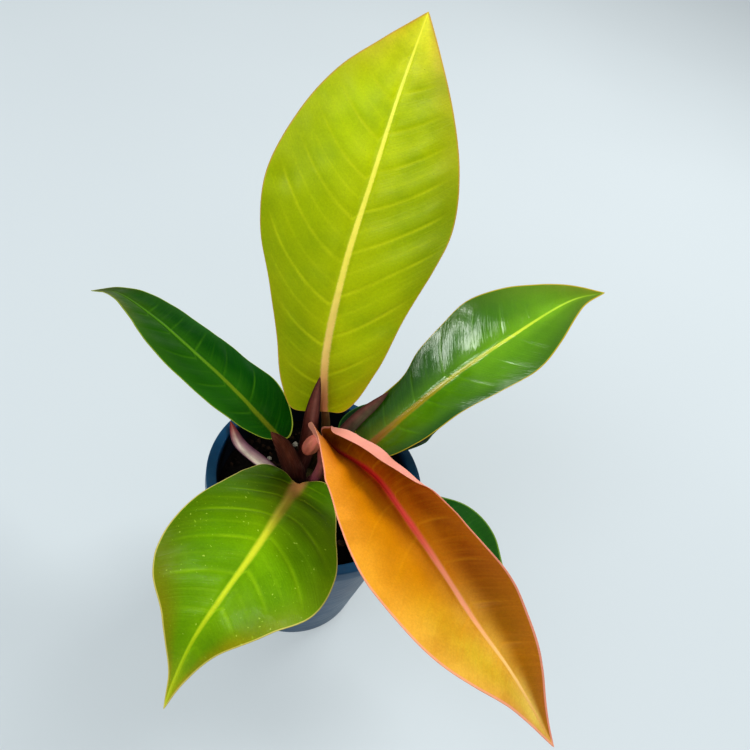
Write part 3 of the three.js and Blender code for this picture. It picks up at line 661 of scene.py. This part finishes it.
LEAVES["leaf_orange"] = dict(
    midrib=[(-2, -8, 40), (4, -13, 43), (27, -29, 54), (46, -52, 62), (64, -72, 65), (82, -90, 64),
            (103, -104, 57), (129, -119, 39)],
    face=(0, 0, 1), width=78,
    left=[(-0.02, 0.07), (0.03, 0.13), (0.12, 0.18), (0.22, 0.2), (0.34, 0.235), (0.5, 0.285),
          (0.63, 0.295), (0.74, 0.24), (0.84, 0.155), (0.93, 0.06)],
    right=[(-0.04, 0.08), (0, 0.2), (0.08, 0.3), (0.2, 0.38), (0.38, 0.44), (0.53, 0.44),
           (0.66, 0.36), (0.76, 0.25), (0.86, 0.12)],
    fold_left=[60, 66, 50, 25, 12], edge_left=[140, 145, 90, 40, 15],
    fold_right=[65, 25, 10, 8, 5], edge_right=[75, 10, 0, 0, 0],
    waves=[(1, 1.5, 0.3, 0.08)],
    lip=(-1, 8.0, 0.0, 0.46),
    petiole=[(-3.5, -2, -5), (-0.5, -4.8, 4), (1, -6.5, 20), (-1, -8, 34)],
    tones=[[(130, 58, 20), (92, 34, 5), (96, 22, 5), (165, 82, 12), (228, 138, 66)],
           [(160, 82, 25), (134, 62, 4), (164, 78, 10), (206, 130, 6), (238, 158, 56)],
           [(156, 84, 16), (136, 70, 3), (196, 122, 20), (204, 138, 2), (226, 160, 46)],
           [(166, 102, 22), (148, 94, 5), (216, 166, 62), (210, 176, 50), (226, 176, 70)],
           [(165, 95, 45), (160, 108, 30), (228, 198, 108), (226, 194, 96), (214, 152, 84)]],
    rib_tones=[(92, 8, 10), (180, 34, 36), (222, 84, 74), (242, 158, 120), (240, 196, 124), (210, 150, 70)],
    rib_width=[1.5, 1.6, 1.4, 0.95, 0.55, 0.3],
    stalk=[(95, 40, 45), (140, 70, 85), (165, 85, 90), (150, 60, 50)],
    look=dict(vein_colour=srgb(225, 160, 30), vein_mix=0.16, cloud_colour=srgb(178, 112, 0),
              streak_colour=srgb(205, 130, 30), streak_mix=0.13, streak_scale=0.8,
              edge_colour=srgb(236, 156, 140), edge_width=0.9, under_colour=srgb(240, 164, 150),
              under_vein=srgb(238, 146, 130), roughness=0.42, cloud=0.45, rib_soft=1.9, edge_mix=0.7,
              specks=[(480.0, 0.77, 0.5, srgb(120, 60, 0))]),
)
LEAVES["leaf_low_front"] = dict(
    midrib=[(30, -5, 1), (56, -7, 8), (86, -8, 6), (112, -16, -4)],
    face=(0, -0.1, 1), width=60,
    left=[(-0.06, 0.12), (-0.05, 0.18), (0.04, 0.22), (0.22, 0.22), (0.42, 0.22), (0.62, 0.235),
          (0.84, 0.155)],
    right=[(-0.06, 0.12), (-0.07, 0.25), (0.02, 0.38), (0.2, 0.46), (0.42, 0.5), (0.65, 0.42), (0.85, 0.2)],
    fold_left=[10, 5, 5], edge_left=[0, -10, -10], fold_right=[12, 10, 10], edge_right=[0],
    petiole=[(-5, 0, -12), (5, -3, -8.5), (16, -4, -6), (26, -4, -3)],
    tones=[[(16, 76, 5), (18, 78, 4), (36, 98, 8), (26, 84, 6), (22, 74, 6)],
           [(18, 80, 4), (20, 84, 4), (40, 108, 10), (30, 92, 6), (26, 80, 6)],
           [(40, 88, 14), (28, 82, 6), (36, 94, 8), (34, 86, 8), (56, 80, 12)]],
    rib_tones=[(120, 135, 50), (130, 160, 60), (110, 150, 45), (90, 120, 30)],
    rib_width=[2.0, 1.5, 1.1, 0.5],
    stalk=[(60, 40, 20), (80, 70, 30), (95, 95, 35), (110, 115, 45)],
    look=dict(vein_colour=srgb(85, 145, 30), vein_mix=0.25, cloud_colour=srgb(15, 85, 0),
              streak_colour=srgb(60, 120, 5), edge_colour=srgb(120, 150, 60),
              under_colour=srgb(95, 135, 45), coat=0.5),
)
LEAVES["leaf_low_back"] = dict(
    midrib=[(8, 22, 14), (24, 32, 21), (41, 42, 22), (59, 50, 17)],
    face=(0, -0.2, 1), width=56,
    left=[(-0.04, 0.1), (0, 0.2), (0.1, 0.28), (0.3, 0.34), (0.5, 0.32), (0.7, 0.22), (0.88, 0.09)],
    right=[(-0.04, 0.1), (0, 0.22), (0.1, 0.33), (0.3, 0.42), (0.5, 0.42), (0.7, 0.32), (0.86, 0.15)],
    fold_left=[-10, -18, -15], edge_left=[-20, -35, -25],
    fold_right=[20, 20, 15], edge_right=[20, 25, 15],
    petiole=[(-5, 0, -12), (0, 7, -9), (3, 13, -2), (6, 19, 9)],
    tones=[[(8, 40, 6), (8, 38, 5), (18, 52, 9), (8, 38, 4), (8, 34, 4)],
           [(14, 54, 6), (12, 50, 5), (30, 72, 12), (14, 50, 5), (12, 44, 5)],
           [(45, 75, 15), (25, 68, 8), (35, 80, 12), (25, 66, 8), (50, 70, 15)]],
    rib_tones=[(90, 110, 40), (85, 120, 45), (75, 115, 35), (60, 90, 25)],
    rib_width=[1.9, 1.4, 1.0, 0.5],
    stalk=[(50, 35, 18), (65, 60, 25), (75, 85, 30), (90, 105, 40)],
    look=dict(vein_colour=srgb(50, 105, 25), vein_mix=0.25, cloud_colour=srgb(5, 50, 0),
              streak_colour=srgb(40, 90, 5), edge_colour=srgb(50, 95, 25),
              under_colour=srgb(75, 110, 35), coat=0.2),
)


def make_leaf(name, spec, seed):
    build = Build()
    blade = add_blade(build, spec, rows=150, columns=40, thickness=0.65, rib_height=2.3,
                      rib_half_width=2.2, seed=seed)
    joint = np.array([3.0]), np.array([0.0])
    top = blade.at(*joint)[0] - blade.upwards(*joint)[0] * 0.8 * PETIOLE_RADIUS
    points = [np.array(point) + CROWN for point in spec["petiole"]] + [top]
    radii = [PETIOLE_RADIUS * share for share in PETIOLE_TAPER]
    add_limb(build, points, radii, spec["stalk"], 1, groove=0.12)
    if name == "leaf_orange":
        add_lobe(build)
    look = {**LEAF_LOOK, **spec["look"]}
    stalk = fibre_material(name + "_stalk", 0.4, srgb(150, 140, 70), 0.25)
    piece = build.finish(name + "_leaf", [leaf_material(name + "_blade", look), stalk])
    place(piece, name, name)


LOBE_CENTRE = CROWN + np.array([-6.6, -7.8, 34.5])
LOBE_LEAN = unit(np.array([0.35, 0.2, 1.0]))
LOBE_RADIUS = 4.1
LOBE_HALF_HEIGHT = 7.2
LOBE_RIBS = 7


def add_lobe(build):
    """The rolled, ribbed basal lobe of the youngest leaf."""
    lean = LOBE_LEAN
    side = unit(np.cross(lean, [0, 1, 0]))
    front = np.cross(lean, side)
    rows, sides = 40, 64
    polar = np.linspace(0.02, math.pi - 0.02, rows + 1)[:, None]
    angle = np.linspace(0, 2 * math.pi, sides + 1)[None, :]
    rib = 1 + 0.05 * np.cos(LOBE_RIBS * angle + 1.5 * np.cos(polar)) * np.sin(polar)
    fold = 1 - 0.16 * np.exp(-(((angle - 4.2) / 0.35) ** 2)) * np.sin(polar)
    radius = LOBE_RADIUS * np.sin(polar) ** 0.85 * rib * fold
    height = LOBE_HALF_HEIGHT * np.cos(polar) * np.ones_like(angle)
    outward = np.cos(angle)[..., None] * side + np.sin(angle)[..., None] * front
    points = LOBE_CENTRE + radius[..., None] * outward + height[..., None] * lean
    flat = np.stack(np.broadcast_arrays(height, angle * 3.0, 5.0), -1)
    shade = ease((7 - height) / 14)[..., None]
    tone = srgb(205, 120, 105) * (1 - shade) + srgb(165, 85, 75) * shade
    build.add(points, grid_faces(rows, sides, True), 1, flat=flat, tone=tone)


# ---- Sheaths --------------------------------------------------------------------------------
SHEATH_OUTLINE = [(0, 0.26), (0.12, 0.42), (0.45, 0.47), (0.75, 0.33), (0.92, 0.14)]
PALE_OUTLINE = [(0, 0.15), (0.12, 0.24), (0.4, 0.48), (0.7, 0.38), (0.92, 0.14)]
SHEATH_FOLD = [25, 20, 15]
SHEATH_EDGE = [65, 50, 30]
SHEATHS = {}
SHEATHS["sheath_centre"] = dict(
    midrib=[(-9.8, 0.5, -3.5), (-9.4, 1.6, 20), (-9.9, -0.2, 38), (-10.8, -1.9, 50), (-12.1, 0.3, 75.8)],
    face=(0, -0.9, 0.3), width=11, outline=SHEATH_OUTLINE,
    tones=[[(30, 8, 8), (58, 22, 18), (70, 30, 24), (58, 22, 18), (30, 8, 8)],
           [(60, 22, 20), (105, 50, 42), (128, 72, 60), (92, 42, 36), (48, 14, 14)],
           [(70, 26, 24), (128, 70, 62), (150, 98, 88), (110, 58, 50), (55, 18, 18)],
           [(60, 22, 20), (100, 55, 48), (118, 66, 56), (90, 45, 38), (52, 18, 18)]],
    rib_tones=[(90, 40, 34), (165, 110, 98), (120, 68, 58)],
)
SHEATHS["sheath_right"] = dict(
    midrib=[(1.5, 8.8, 2), (4.5, 11.5, 15), (8, 12.8, 28), (12.5, 16.5, 39), (18, 21.6, 47.3),
            (22.5, 27.1, 53.5)],
    face=(-0.3, -0.6, 0.75), width=10, outline=SHEATH_OUTLINE,
    tones=[[(70, 40, 38), (90, 62, 55), (84, 72, 58), (72, 66, 52), (60, 48, 38)],
           [(92, 52, 50), (128, 90, 82), (112, 100, 84), (98, 96, 76), (78, 66, 52)],
           [(105, 58, 56), (142, 100, 92), (122, 108, 92), (104, 100, 80), (84, 68, 55)],
           [(88, 45, 44), (112, 68, 62), (100, 64, 56), (92, 60, 50), (78, 46, 42)]],
    rib_tones=[(90, 70, 58), (140, 120, 100), (90, 56, 50)],
)
SHEATHS["sheath_left"] = dict(
    midrib=[(-9.5, -6.5, -4), (-11.6, -8.6, 7.5), (-16.5, -8.7, 18.5), (-22.2, -8.3, 28), (-28.6, -8.8, 35)],
    face=(0.3, -0.7, 0.6), width=14, outline=SHEATH_OUTLINE,
    tones=[[(25, 6, 8), (45, 14, 14), (52, 20, 16), (45, 14, 14), (25, 6, 8)],
           [(38, 10, 10), (70, 28, 20), (84, 40, 26), (64, 24, 18), (36, 10, 10)],
           [(58, 20, 12), (92, 42, 26), (104, 52, 34), (84, 36, 22), (50, 16, 12)],
           [(80, 34, 20), (108, 56, 38), (112, 60, 40), (96, 46, 30), (66, 26, 18)]],
    rib_tones=[(60, 24, 20), (98, 50, 36), (110, 60, 40)],
)
SHEATHS["sheath_pale"] = dict(
    midrib=[(-12, -5.5, -10.5), (-0.31 * RIM_RADIUS, -3, -8.5), (-0.57 * RIM_RADIUS, -1.5, -4),
            (-0.77 * RIM_RADIUS, 3, -0.5), (-0.94 * RIM_RADIUS, 15, 2.6)],
    face=(-0.1, 0.2, 1), width=11, outline=PALE_OUTLINE,
    tones=[[(70, 45, 58), (120, 98, 98), (165, 150, 130), (120, 98, 98), (60, 36, 50)],
           [(95, 66, 82), (170, 152, 148), (205, 198, 178), (160, 140, 138), (84, 52, 72)],
           [(98, 66, 84), (165, 142, 142), (196, 184, 172), (140, 108, 116), (84, 50, 70)],
           [(110, 30, 28), (125, 48, 42), (140, 62, 52), (112, 32, 30), (95, 20, 22)]],
    rib_tones=[(160, 148, 130), (212, 208, 188), (190, 175, 162), (125, 45, 38)],
)


def make_sheath(name, spec, seed):
    spec.update(left=spec["outline"], right=spec["outline"], rib_width=[0.6, 0.4],
                fold_left=SHEATH_FOLD, edge_left=SHEATH_EDGE, fold_right=SHEATH_FOLD, edge_right=SHEATH_EDGE)
    build = Build()
    add_blade(build, spec, rows=70, columns=16, thickness=0.6, rib_height=0.25,
              rib_half_width=1.0, seed=seed, strength=0.35)
    material = fibre_material(name, 0.6, srgb(150, 110, 95), 0.22, 0.6)
    place(build.finish(name + "_skin", [material]), name, name)


# ---- Pot ------------------------------------------------------------------------------------
POT_WALL = 1.3
RIM_FLAT = 5.5
LIP_DROP = 8
BASE_RADIUS = 43
FOOT_HEIGHT = 3
FOOT_WIDTH = 6
PAD_RADIUS = 11
POT_FLOOR = 1.8
WALL_TOP_RADIUS = RIM_RADIUS - RIM_FLAT
FOOT_SLOPE = 1.5
EDGE_ROUND = 0.9
DRAIN_HOLES = 8
DRAIN_RADIUS = 4
NOTCHES = 4
NOTCH_SIZE = np.array([18, 10, 3])  # the block cut out, whose middle is level with the table


def outer_radius(z):
    return BASE_RADIUS + (WALL_TOP_RADIUS + POT_WALL - BASE_RADIUS) * z / RIM_Z


def turned(profile, segments):
    """A closed ring of faces from a profile of (radius, height); the axis ends become points."""
    profile = np.array(profile, float)
    angle = np.linspace(0, 2 * math.pi, segments, endpoint=False)
    points, rings = [], []
    for radius, height in profile:
        first = len(points)
        if radius < 1e-6:
            points.append((0, 0, height))
            rings.append([first] * segments)
        else:
            points += [(radius * math.cos(a), radius * math.sin(a), height) for a in angle]
            rings.append(list(range(first, first + segments)))
    faces = []
    for low, high in zip(rings, rings[1:]):
        for side in range(segments):
            after = (side + 1) % segments
            quad = (low[side], low[after], high[after], high[side])
            face = tuple(dict.fromkeys(quad))
            if len(face) > 2:
                faces.append(face)
    return points, faces


def rounded(corners, radius, steps=4):
    """A polyline whose inner corners are rounded by a short curve."""
    corners = [np.array(corner, float) for corner in corners]
    path = [corners[0]]
    for before, corner, after in zip(corners, corners[1:], corners[2:]):
        to_before, to_after = before - corner, after - corner
        reach = min(radius, np.linalg.norm(to_before) * 0.45, np.linalg.norm(to_after) * 0.45)
        start, end = corner + unit(to_before) * reach, corner + unit(to_after) * reach
        for step in range(steps + 1):
            t = step / steps
            path.append((1 - t) ** 2 * start + 2 * t * (1 - t) * corner + t * t * end)
    path.append(corners[-1])
    return path


def pot_material():
    g = Graph("pot_plastic")
    position = g.object_place()
    x, y, z = g.split(position)
    cloud = g.noise(position, 24.0, 4.0, 0.6)
    scuff = g.noise(g.join(x, y, g.times(z, 14.0)), 70.0, 5.0, 0.7)
    colour = g.mix(g.fit(cloud, 0.3, 0.7), srgb(12, 58, 92), srgb(20, 74, 106))
    colour = g.mix(g.fit(scuff, 0.55, 0.75, 0.0, 0.22), colour, srgb(90, 130, 150))
    dust = g.fit(g.noise(position, 420.0, 3.0), 0.62, 0.72, 0.0, 0.3)
    colour = g.mix(dust, colour, srgb(70, 60, 50))
    # Painted shade: below the rim the inner wall blends to near black, and it is darker deeper in the pot.
    # This stands in for the shade inside the pot, and the cloud noise makes its upper edge uneven.
    radius = g.math("SQRT", g.plus(g.times(x, x), g.times(y, y)))
    slope = (WALL_TOP_RADIUS + POT_WALL - BASE_RADIUS) / RIM_Z
    skin = g.math("SUBTRACT", g.plus(g.times(z, slope), BASE_RADIUS * MM), radius)
    depth = g.plus(g.math("SUBTRACT", RIM_Z * MM, z), g.times(cloud, 0.004))
    inside = g.times(g.fit(skin, 0.8 * MM, 1.1 * MM), g.fit(depth, 2.5 * MM, 7 * MM))
    g.set(Base_Color=g.mix(g.times(inside, 0.92), colour, srgb(14, 14, 16)))
    g.set(Roughness=g.fit(scuff, 0.3, 0.7, 0.3, 0.46))
    g.bump(g.plus(g.times(scuff, 0.5), g.noise(position, 1400.0, 2.0)), 0.12, 0.2)
    return g.material


def cut(piece, cutters):
    for cutter in cutters:
        modifier = piece.modifiers.new("cut", "BOOLEAN")
        modifier.object = cutter
        modifier.operation = "DIFFERENCE"
        modifier.solver = "EXACT"
    bpy.context.view_layer.update()
    evaluated = piece.evaluated_get(bpy.context.evaluated_depsgraph_get())
    mesh = bpy.data.meshes.new_from_object(evaluated)
    piece.modifiers.clear()
    piece.data = mesh
    for cutter in cutters:
        bpy.data.objects.remove(cutter)


def make_pot():
    channel_outer = BASE_RADIUS - FOOT_WIDTH
    under_rim = RIM_Z - POT_WALL
    floor_top = FOOT_HEIGHT + POT_FLOOR
    lip_inner = RIM_RADIUS - POT_WALL
    corners = [
        (0, 0), (PAD_RADIUS, 0), (PAD_RADIUS + FOOT_SLOPE, FOOT_HEIGHT),
        (channel_outer - FOOT_SLOPE, FOOT_HEIGHT),
        (channel_outer, 0), (BASE_RADIUS, 0), (outer_radius(under_rim), under_rim), (lip_inner, under_rim),
        (lip_inner, RIM_Z - LIP_DROP), (RIM_RADIUS, RIM_Z - LIP_DROP), (RIM_RADIUS, RIM_Z),
        (WALL_TOP_RADIUS, RIM_Z), (outer_radius(floor_top) - POT_WALL, floor_top), (0, floor_top),
    ]
    profile = rounded(corners, EDGE_ROUND)
    points, faces = turned(profile, 192)
    build = Build()
    build.add(points, faces)
    pot = build.finish("pot_shell", [pot_material()])
    cutters = []
    ring = (PAD_RADIUS + channel_outer) / 2
    drill_low, drill_high = -2, floor_top + 4
    for hole in range(DRAIN_HOLES):
        angle = 2 * math.pi * (hole + 0.5) / DRAIN_HOLES
        drill = Build()
        side, drill_faces = turned([(0, drill_low), (DRAIN_RADIUS, drill_low), (DRAIN_RADIUS, drill_high),
                                    (0, drill_high)], 40)
        shift = np.array([ring * math.cos(angle), ring * math.sin(angle), 0])
        drill.add(np.array(side) + shift, drill_faces)
        cutters.append(drill.finish("drill", []))
    square = [(-1, -1), (1, -1), (1, 1), (-1, 1)]
    block_corners = np.array([(x, y, z) for z in (-1, 1) for x, y in square]) * NOTCH_SIZE / 2
    block_faces = [(3, 2, 1, 0), (4, 5, 6, 7), (0, 1, 5, 4), (1, 2, 6, 5), (2, 3, 7, 6), (3, 0, 4, 7)]
    for notch in range(NOTCHES):
        angle = 2 * math.pi / NOTCHES * notch
        across, ahead = math.cos(angle), math.sin(angle)
        turn = np.array([[across, -ahead, 0], [ahead, across, 0], [0, 0, 1]])
        block = Build()
        block.add((block_corners + [BASE_RADIUS, 0, 0]) @ turn.T, block_faces)
        cutters.append(block.finish("notch", []))
    cut(pot, cutters)
    place(pot, "pot_plastic", "pot")


# ---- Soil, grains and stem ------------------------------------------------------------------
SOIL_DROP = 16
SOIL_LEVEL = RIM_Z - SOIL_DROP
SOIL_LUMP = 1.2
SOIL_SIDE_GAP = 0.4
SOIL_UNDER_GAP = 0.3
SOIL_SINK = 0.4  # how far the fine mix lies below the height that soil_top gives
CRUMBS = 620


def soil_top(radius, angle):
    total = np.sin(3 * angle + radius * 0.21) + np.sin(5 * angle - radius * 0.33 + 1)
    total = total + np.sin(radius * 0.4 + 2 * angle + 2)
    return SOIL_LEVEL + SOIL_LUMP * total / 2


def soil_material():
    g = Graph("soil")
    position = g.object_place()
    tone = g.attribute("tone", "Vector")
    crumbs = g.noise(position, 520.0, 5.0, 0.7)
    fine = g.noise(position, 2200.0, 3.0, 0.7)
    colour = g.shaded(tone, g.fit(crumbs, 0.3, 0.7, 0.55, 1.35))
    fleck = g.fit(g.noise(position, 1500.0, 2.0), 0.72, 0.78, 0.0, 0.4)
    g.set(Base_Color=g.mix(fleck, colour, srgb(90, 72, 54)), Specular_IOR_Level=0.15)
    g.set(Roughness=g.fit(crumbs, 0.3, 0.7, 0.75, 0.95))
    g.bump(g.plus(crumbs, g.times(fine, 0.6)), 0.8, 0.8)
    return g.material


def chunk_shape(subdivisions):
    """Unit icosphere points and faces."""
    shape = bmesh.new()
    bmesh.ops.create_icosphere(shape, subdivisions=subdivisions, radius=1.0)
    points = np.array([vertex.co for vertex in shape.verts])
    faces = [tuple(vertex.index for vertex in face.verts) for face in shape.faces]
    shape.free()
    return points, faces


def rough_chunk(points, size, source, roughness):
    """A chunk: the unit shape stretched, knocked out of round, turned and sized in millimetres."""
    seed = int(source.integers(1e6))
    bumps = 1 + roughness * ripple(points[:, 0] * 3 + points[:, 2], points[:, 1] * 3, 3.0, seed, 5)
    stretched = points * bumps[:, None] * np.array(size)
    spin = Matrix.Rotation(source.uniform(0, 6.28), 3, "Z")
    tilt = Matrix.Rotation(source.uniform(-0.5, 0.5), 3, "X")
    return stretched @ np.array(spin @ tilt).T


def make_soil():
    source = np.random.default_rng(11)
    rings, sectors = 130, 300
    floor = FOOT_HEIGHT + POT_FLOOR + SOIL_UNDER_GAP
    edge = outer_radius(SOIL_LEVEL - SOIL_LUMP) - POT_WALL - SOIL_SIDE_GAP
    angle = np.linspace(0, 2 * math.pi, sectors + 1)[None, :]
    radius = (edge * np.linspace(0, 1, rings + 1))[:, None]
    x, y = radius * np.cos(angle), radius * np.sin(angle)
    crumbs = 0.5 * ripple(x, y, 5, 3) + 0.35 * ripple(x, y, 2.4, 4) + 0.6 * ripple(x, y, 11, 6)
    height = soil_top(radius, angle) - SOIL_SINK + crumbs * ease((edge - radius) / 4 + 0.4)
    build = Build()
    top = np.stack([x, y, height], -1)
    # The near-black tones of the soil and its crumbs are partly the dark soil and partly painted shade
    # inside the pot.
    shade = srgb(14, 10, 8)
    build.add(top, grid_faces(rings, sectors, True), 0, tone=shade)
    low_edge = outer_radius(floor) - POT_WALL - SOIL_SIDE_GAP
    low_x, low_y = low_edge * np.cos(angle[0]), low_edge * np.sin(angle[0])
    low = np.stack([low_x, low_y, np.full(sectors + 1, floor)], -1)
    middle = np.zeros((sectors + 1, 3)) + [0, 0, floor]
    build.add(np.stack([top[-1], low, middle]), grid_faces(2, sectors, True), 0, tone=shade)
    ball, ball_faces = chunk_shape(2)
    soil_and_painted_shade_palette = [srgb(14, 10, 8), srgb(20, 14, 11), srgb(28, 20, 15), srgb(10, 8, 7), srgb(40, 29, 21)]
    for _ in range(CRUMBS):
        distance = edge * math.sqrt(source.uniform(0, 1)) * 0.96
        bearing = source.uniform(0, 2 * math.pi)
        size = source.uniform(0.6, 1.9) * np.array([1, source.uniform(0.5, 1), source.uniform(0.4, 0.8)])
        centre = np.array([distance * math.cos(bearing), distance * math.sin(bearing),
                           soil_top(distance, bearing) - 0.2])
        if np.hypot(centre[0] + 5, centre[1]) < 8 or distance + size[0] > edge:
            continue
        points = rough_chunk(ball, size, source, 0.22) + centre
        build.add(points, ball_faces, 0, tone=soil_and_painted_shade_palette[int(source.integers(len(soil_and_painted_shade_palette)))])
    place(build.finish("soil_mix", [soil_material()]), "soil", "soil")


def grain_material(name, light, dark, roughness):
    g = Graph(name)
    position = g.object_place()
    pits = g.noise(position, 900.0, 4.0, 0.7)
    g.set(Base_Color=g.mix(g.fit(pits, 0.35, 0.65), dark, light), Roughness=roughness)
    g.bump(pits, 0.8, 0.5)
    return g.material


def make_grains():
    source = np.random.default_rng(23)
    materials = {
        # The perlite's greys are painted shade: real perlite is white, and it is dimmed here for the shade
        # inside the pot.
        "perlite": grain_material("perlite", srgb(150, 146, 136), srgb(104, 98, 88), 0.9),
        "bark": grain_material("bark", srgb(98, 68, 46), srgb(40, 26, 18), 0.85),
    }
    points, faces = chunk_shape(4)
    for node in ("perlite_1", "perlite_2", "perlite_3", "perlite_4", "bark_1", "bark_2"):
        low, high = (np.array(corner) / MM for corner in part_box(node))
        kind = node.split("_")[0]
        seed = int(source.integers(1e6))
        bumps = 1 + 0.1 * ripple(points[:, 0] * 2, points[:, 1] * 2 + points[:, 2], 1.6, seed, 6)
        shape = points * bumps[:, None]
        if kind == "bark":
            shape = np.sign(shape) * np.abs(shape) ** 0.7
        shape = shape / np.abs(shape).max(0) * (high - low) / 2 + (high + low) / 2
        build = Build()
        build.add(shape, faces)
        place(build.finish(node + "_grain", [materials[kind]]), kind, node)


SCAR_SPACING = 5.5  # millimetres between the rings that fallen leaves left on the stem


def make_stem():
    low, high = (np.array(corner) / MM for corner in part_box("stem"))
    axis = (low[:2] + high[:2]) / 2
    radius = (high[0] - low[0]) / 2
    rows, sides = 60, 48
    height = np.linspace(low[2], high[2], rows + 1)[:, None]
    angle = np.linspace(0, 2 * math.pi, sides + 1)[None, :]
    top_round = np.sqrt(np.clip((high[2] - height) / 5, 0, 1))
    dome = top_round * np.sqrt(np.clip((height - low[2]) / 4 + 0.3, 0, 1))
    scars = 0.94 + 0.05 * np.cos(2 * math.pi * (height + 0.8 * np.sin(angle)) / SCAR_SPACING)
    girth = radius * dome * scars * (1 + 0.02 * ripple(angle * 4, height, 6, 9))
    girth = np.maximum(girth, 0.05)
    x, y = axis[0] + girth * np.cos(angle), axis[1] + girth * np.sin(angle)
    points = np.stack([x, y, height + 0 * angle], -1)
    flat = np.stack(np.broadcast_arrays(height, angle * radius, 5.0), -1)
    tone = keyed((height - low[2]) / (high[2] - low[2]) + 0 * angle,
                 np.array([srgb(60, 45, 28), srgb(72, 56, 32), srgb(80, 75, 38)]))
    build = Build()
    build.add(points, grid_faces(rows, sides), 0, flat=flat, tone=tone)
    material = fibre_material("stem", 0.65, srgb(110, 90, 60), 0.35, 0.7)
    place(build.finish("stem_body", [material]), "stem", "stem")


# ---- Stage ----------------------------------------------------------------------------------
CAMERA_PLACE = Vector((12.7, -248.9, 443.0)) * MM
CAMERA_ELEVATION = math.radians(45)
CAMERA_ROLL = math.radians(18.5)
HALF_VIEW = 0.4992  # half the picture's width over the focal length
SENSOR_WIDTH = 36
FLOOR_HALF = 6.0  # metres
PLANT_MIDDLE = Vector((0.0, 0.0, 0.18))


def make_stage():
    mesh = bpy.data.meshes.new("floor")
    corners = [(x * FLOOR_HALF, y * FLOOR_HALF, 0) for x, y in ((-1, -1), (1, -1), (1, 1), (-1, 1))]
    mesh.from_pydata(corners, [], [(0, 1, 2, 3)])
    g = Graph("floor")
    cloud = g.noise(g.object_place(), 1.5, 2.0)
    g.set(Base_Color=g.mix(g.fit(cloud, 0.3, 0.7), srgb(146, 154, 158), srgb(150, 158, 162)), Roughness=0.9)
    g.set(Specular_IOR_Level=0.2, Emission_Color=srgb(213, 220, 222), Emission_Strength=0.44)
    mesh.materials.append(g.material)
    floor = bpy.data.objects.new("floor", mesh)
    bpy.context.scene.collection.objects.link(floor)


def add_light(name, place_at, size, power, colour, mirrored):
    """A soft lamp aimed at the plant. A mirrored one is seen only as highlights, the others only
    as light on the surfaces."""
    light = bpy.data.lights.new(name, "AREA")
    light.shape = "RECTANGLE"
    light.size, light.size_y = size
    light.energy = power
    light.color = colour
    lamp = bpy.data.objects.new(name, light)
    lamp.location = place_at
    lamp.rotation_euler = (PLANT_MIDDLE - Vector(place_at)).to_track_quat("-Z", "Y").to_euler()
    lamp.visible_glossy = mirrored
    lamp.visible_diffuse = not mirrored
    bpy.context.scene.collection.objects.link(lamp)


def make_lights():
    add_light("window", (0.5, 0.8, 1.2), (0.7, 0.5), 14, (1.0, 0.98, 0.95), False)
    add_light("strip", (-0.15, -0.2, 1.4), (0.2, 1.0), 7, (1.0, 1.0, 1.0), True)
    add_light("fill", (-0.7, -1.1, 1.5), (1.6, 1.6), 22.5, (0.96, 0.98, 1.0), False)
    world = bpy.data.worlds.new("studio")
    world.use_nodes = True
    background = world.node_tree.nodes["Background"]
    background.inputs["Color"].default_value = (0.9, 0.95, 1.0, 1.0)
    background.inputs["Strength"].default_value = 0.3
    bpy.context.scene.world = world
    bpy.context.scene.view_settings.view_transform = "Standard"
    bpy.context.scene.view_settings.look = "Medium High Contrast"


def make_camera():
    forward = Vector((0, math.cos(CAMERA_ELEVATION), -math.sin(CAMERA_ELEVATION)))
    level = Vector((1, 0, 0))
    upright = Vector((0, math.sin(CAMERA_ELEVATION), math.cos(CAMERA_ELEVATION)))
    right = level * math.cos(CAMERA_ROLL) + upright * math.sin(CAMERA_ROLL)
    up = upright * math.cos(CAMERA_ROLL) - level * math.sin(CAMERA_ROLL)
    data = bpy.data.cameras.new("camera")
    data.sensor_width = SENSOR_WIDTH
    data.lens = SENSOR_WIDTH / 2 / HALF_VIEW
    data.clip_start = 0.01
    camera = bpy.data.objects.new("camera", data)
    axes = Matrix((right, up, -forward)).transposed().to_4x4()
    camera.matrix_world = Matrix.Translation(CAMERA_PLACE) @ axes
    bpy.context.scene.collection.objects.link(camera)
    bpy.context.scene.camera = camera


make_camera()
make_lights()
make_stage()
make_pot()
make_soil()
make_grains()
make_stem()
for number, (name, spec) in enumerate(LEAVES.items()):
    make_leaf(name, spec, 100 + 10 * number)
for number, (name, spec) in enumerate(SHEATHS.items()):
    make_sheath(name, spec, 300 + 10 * number)
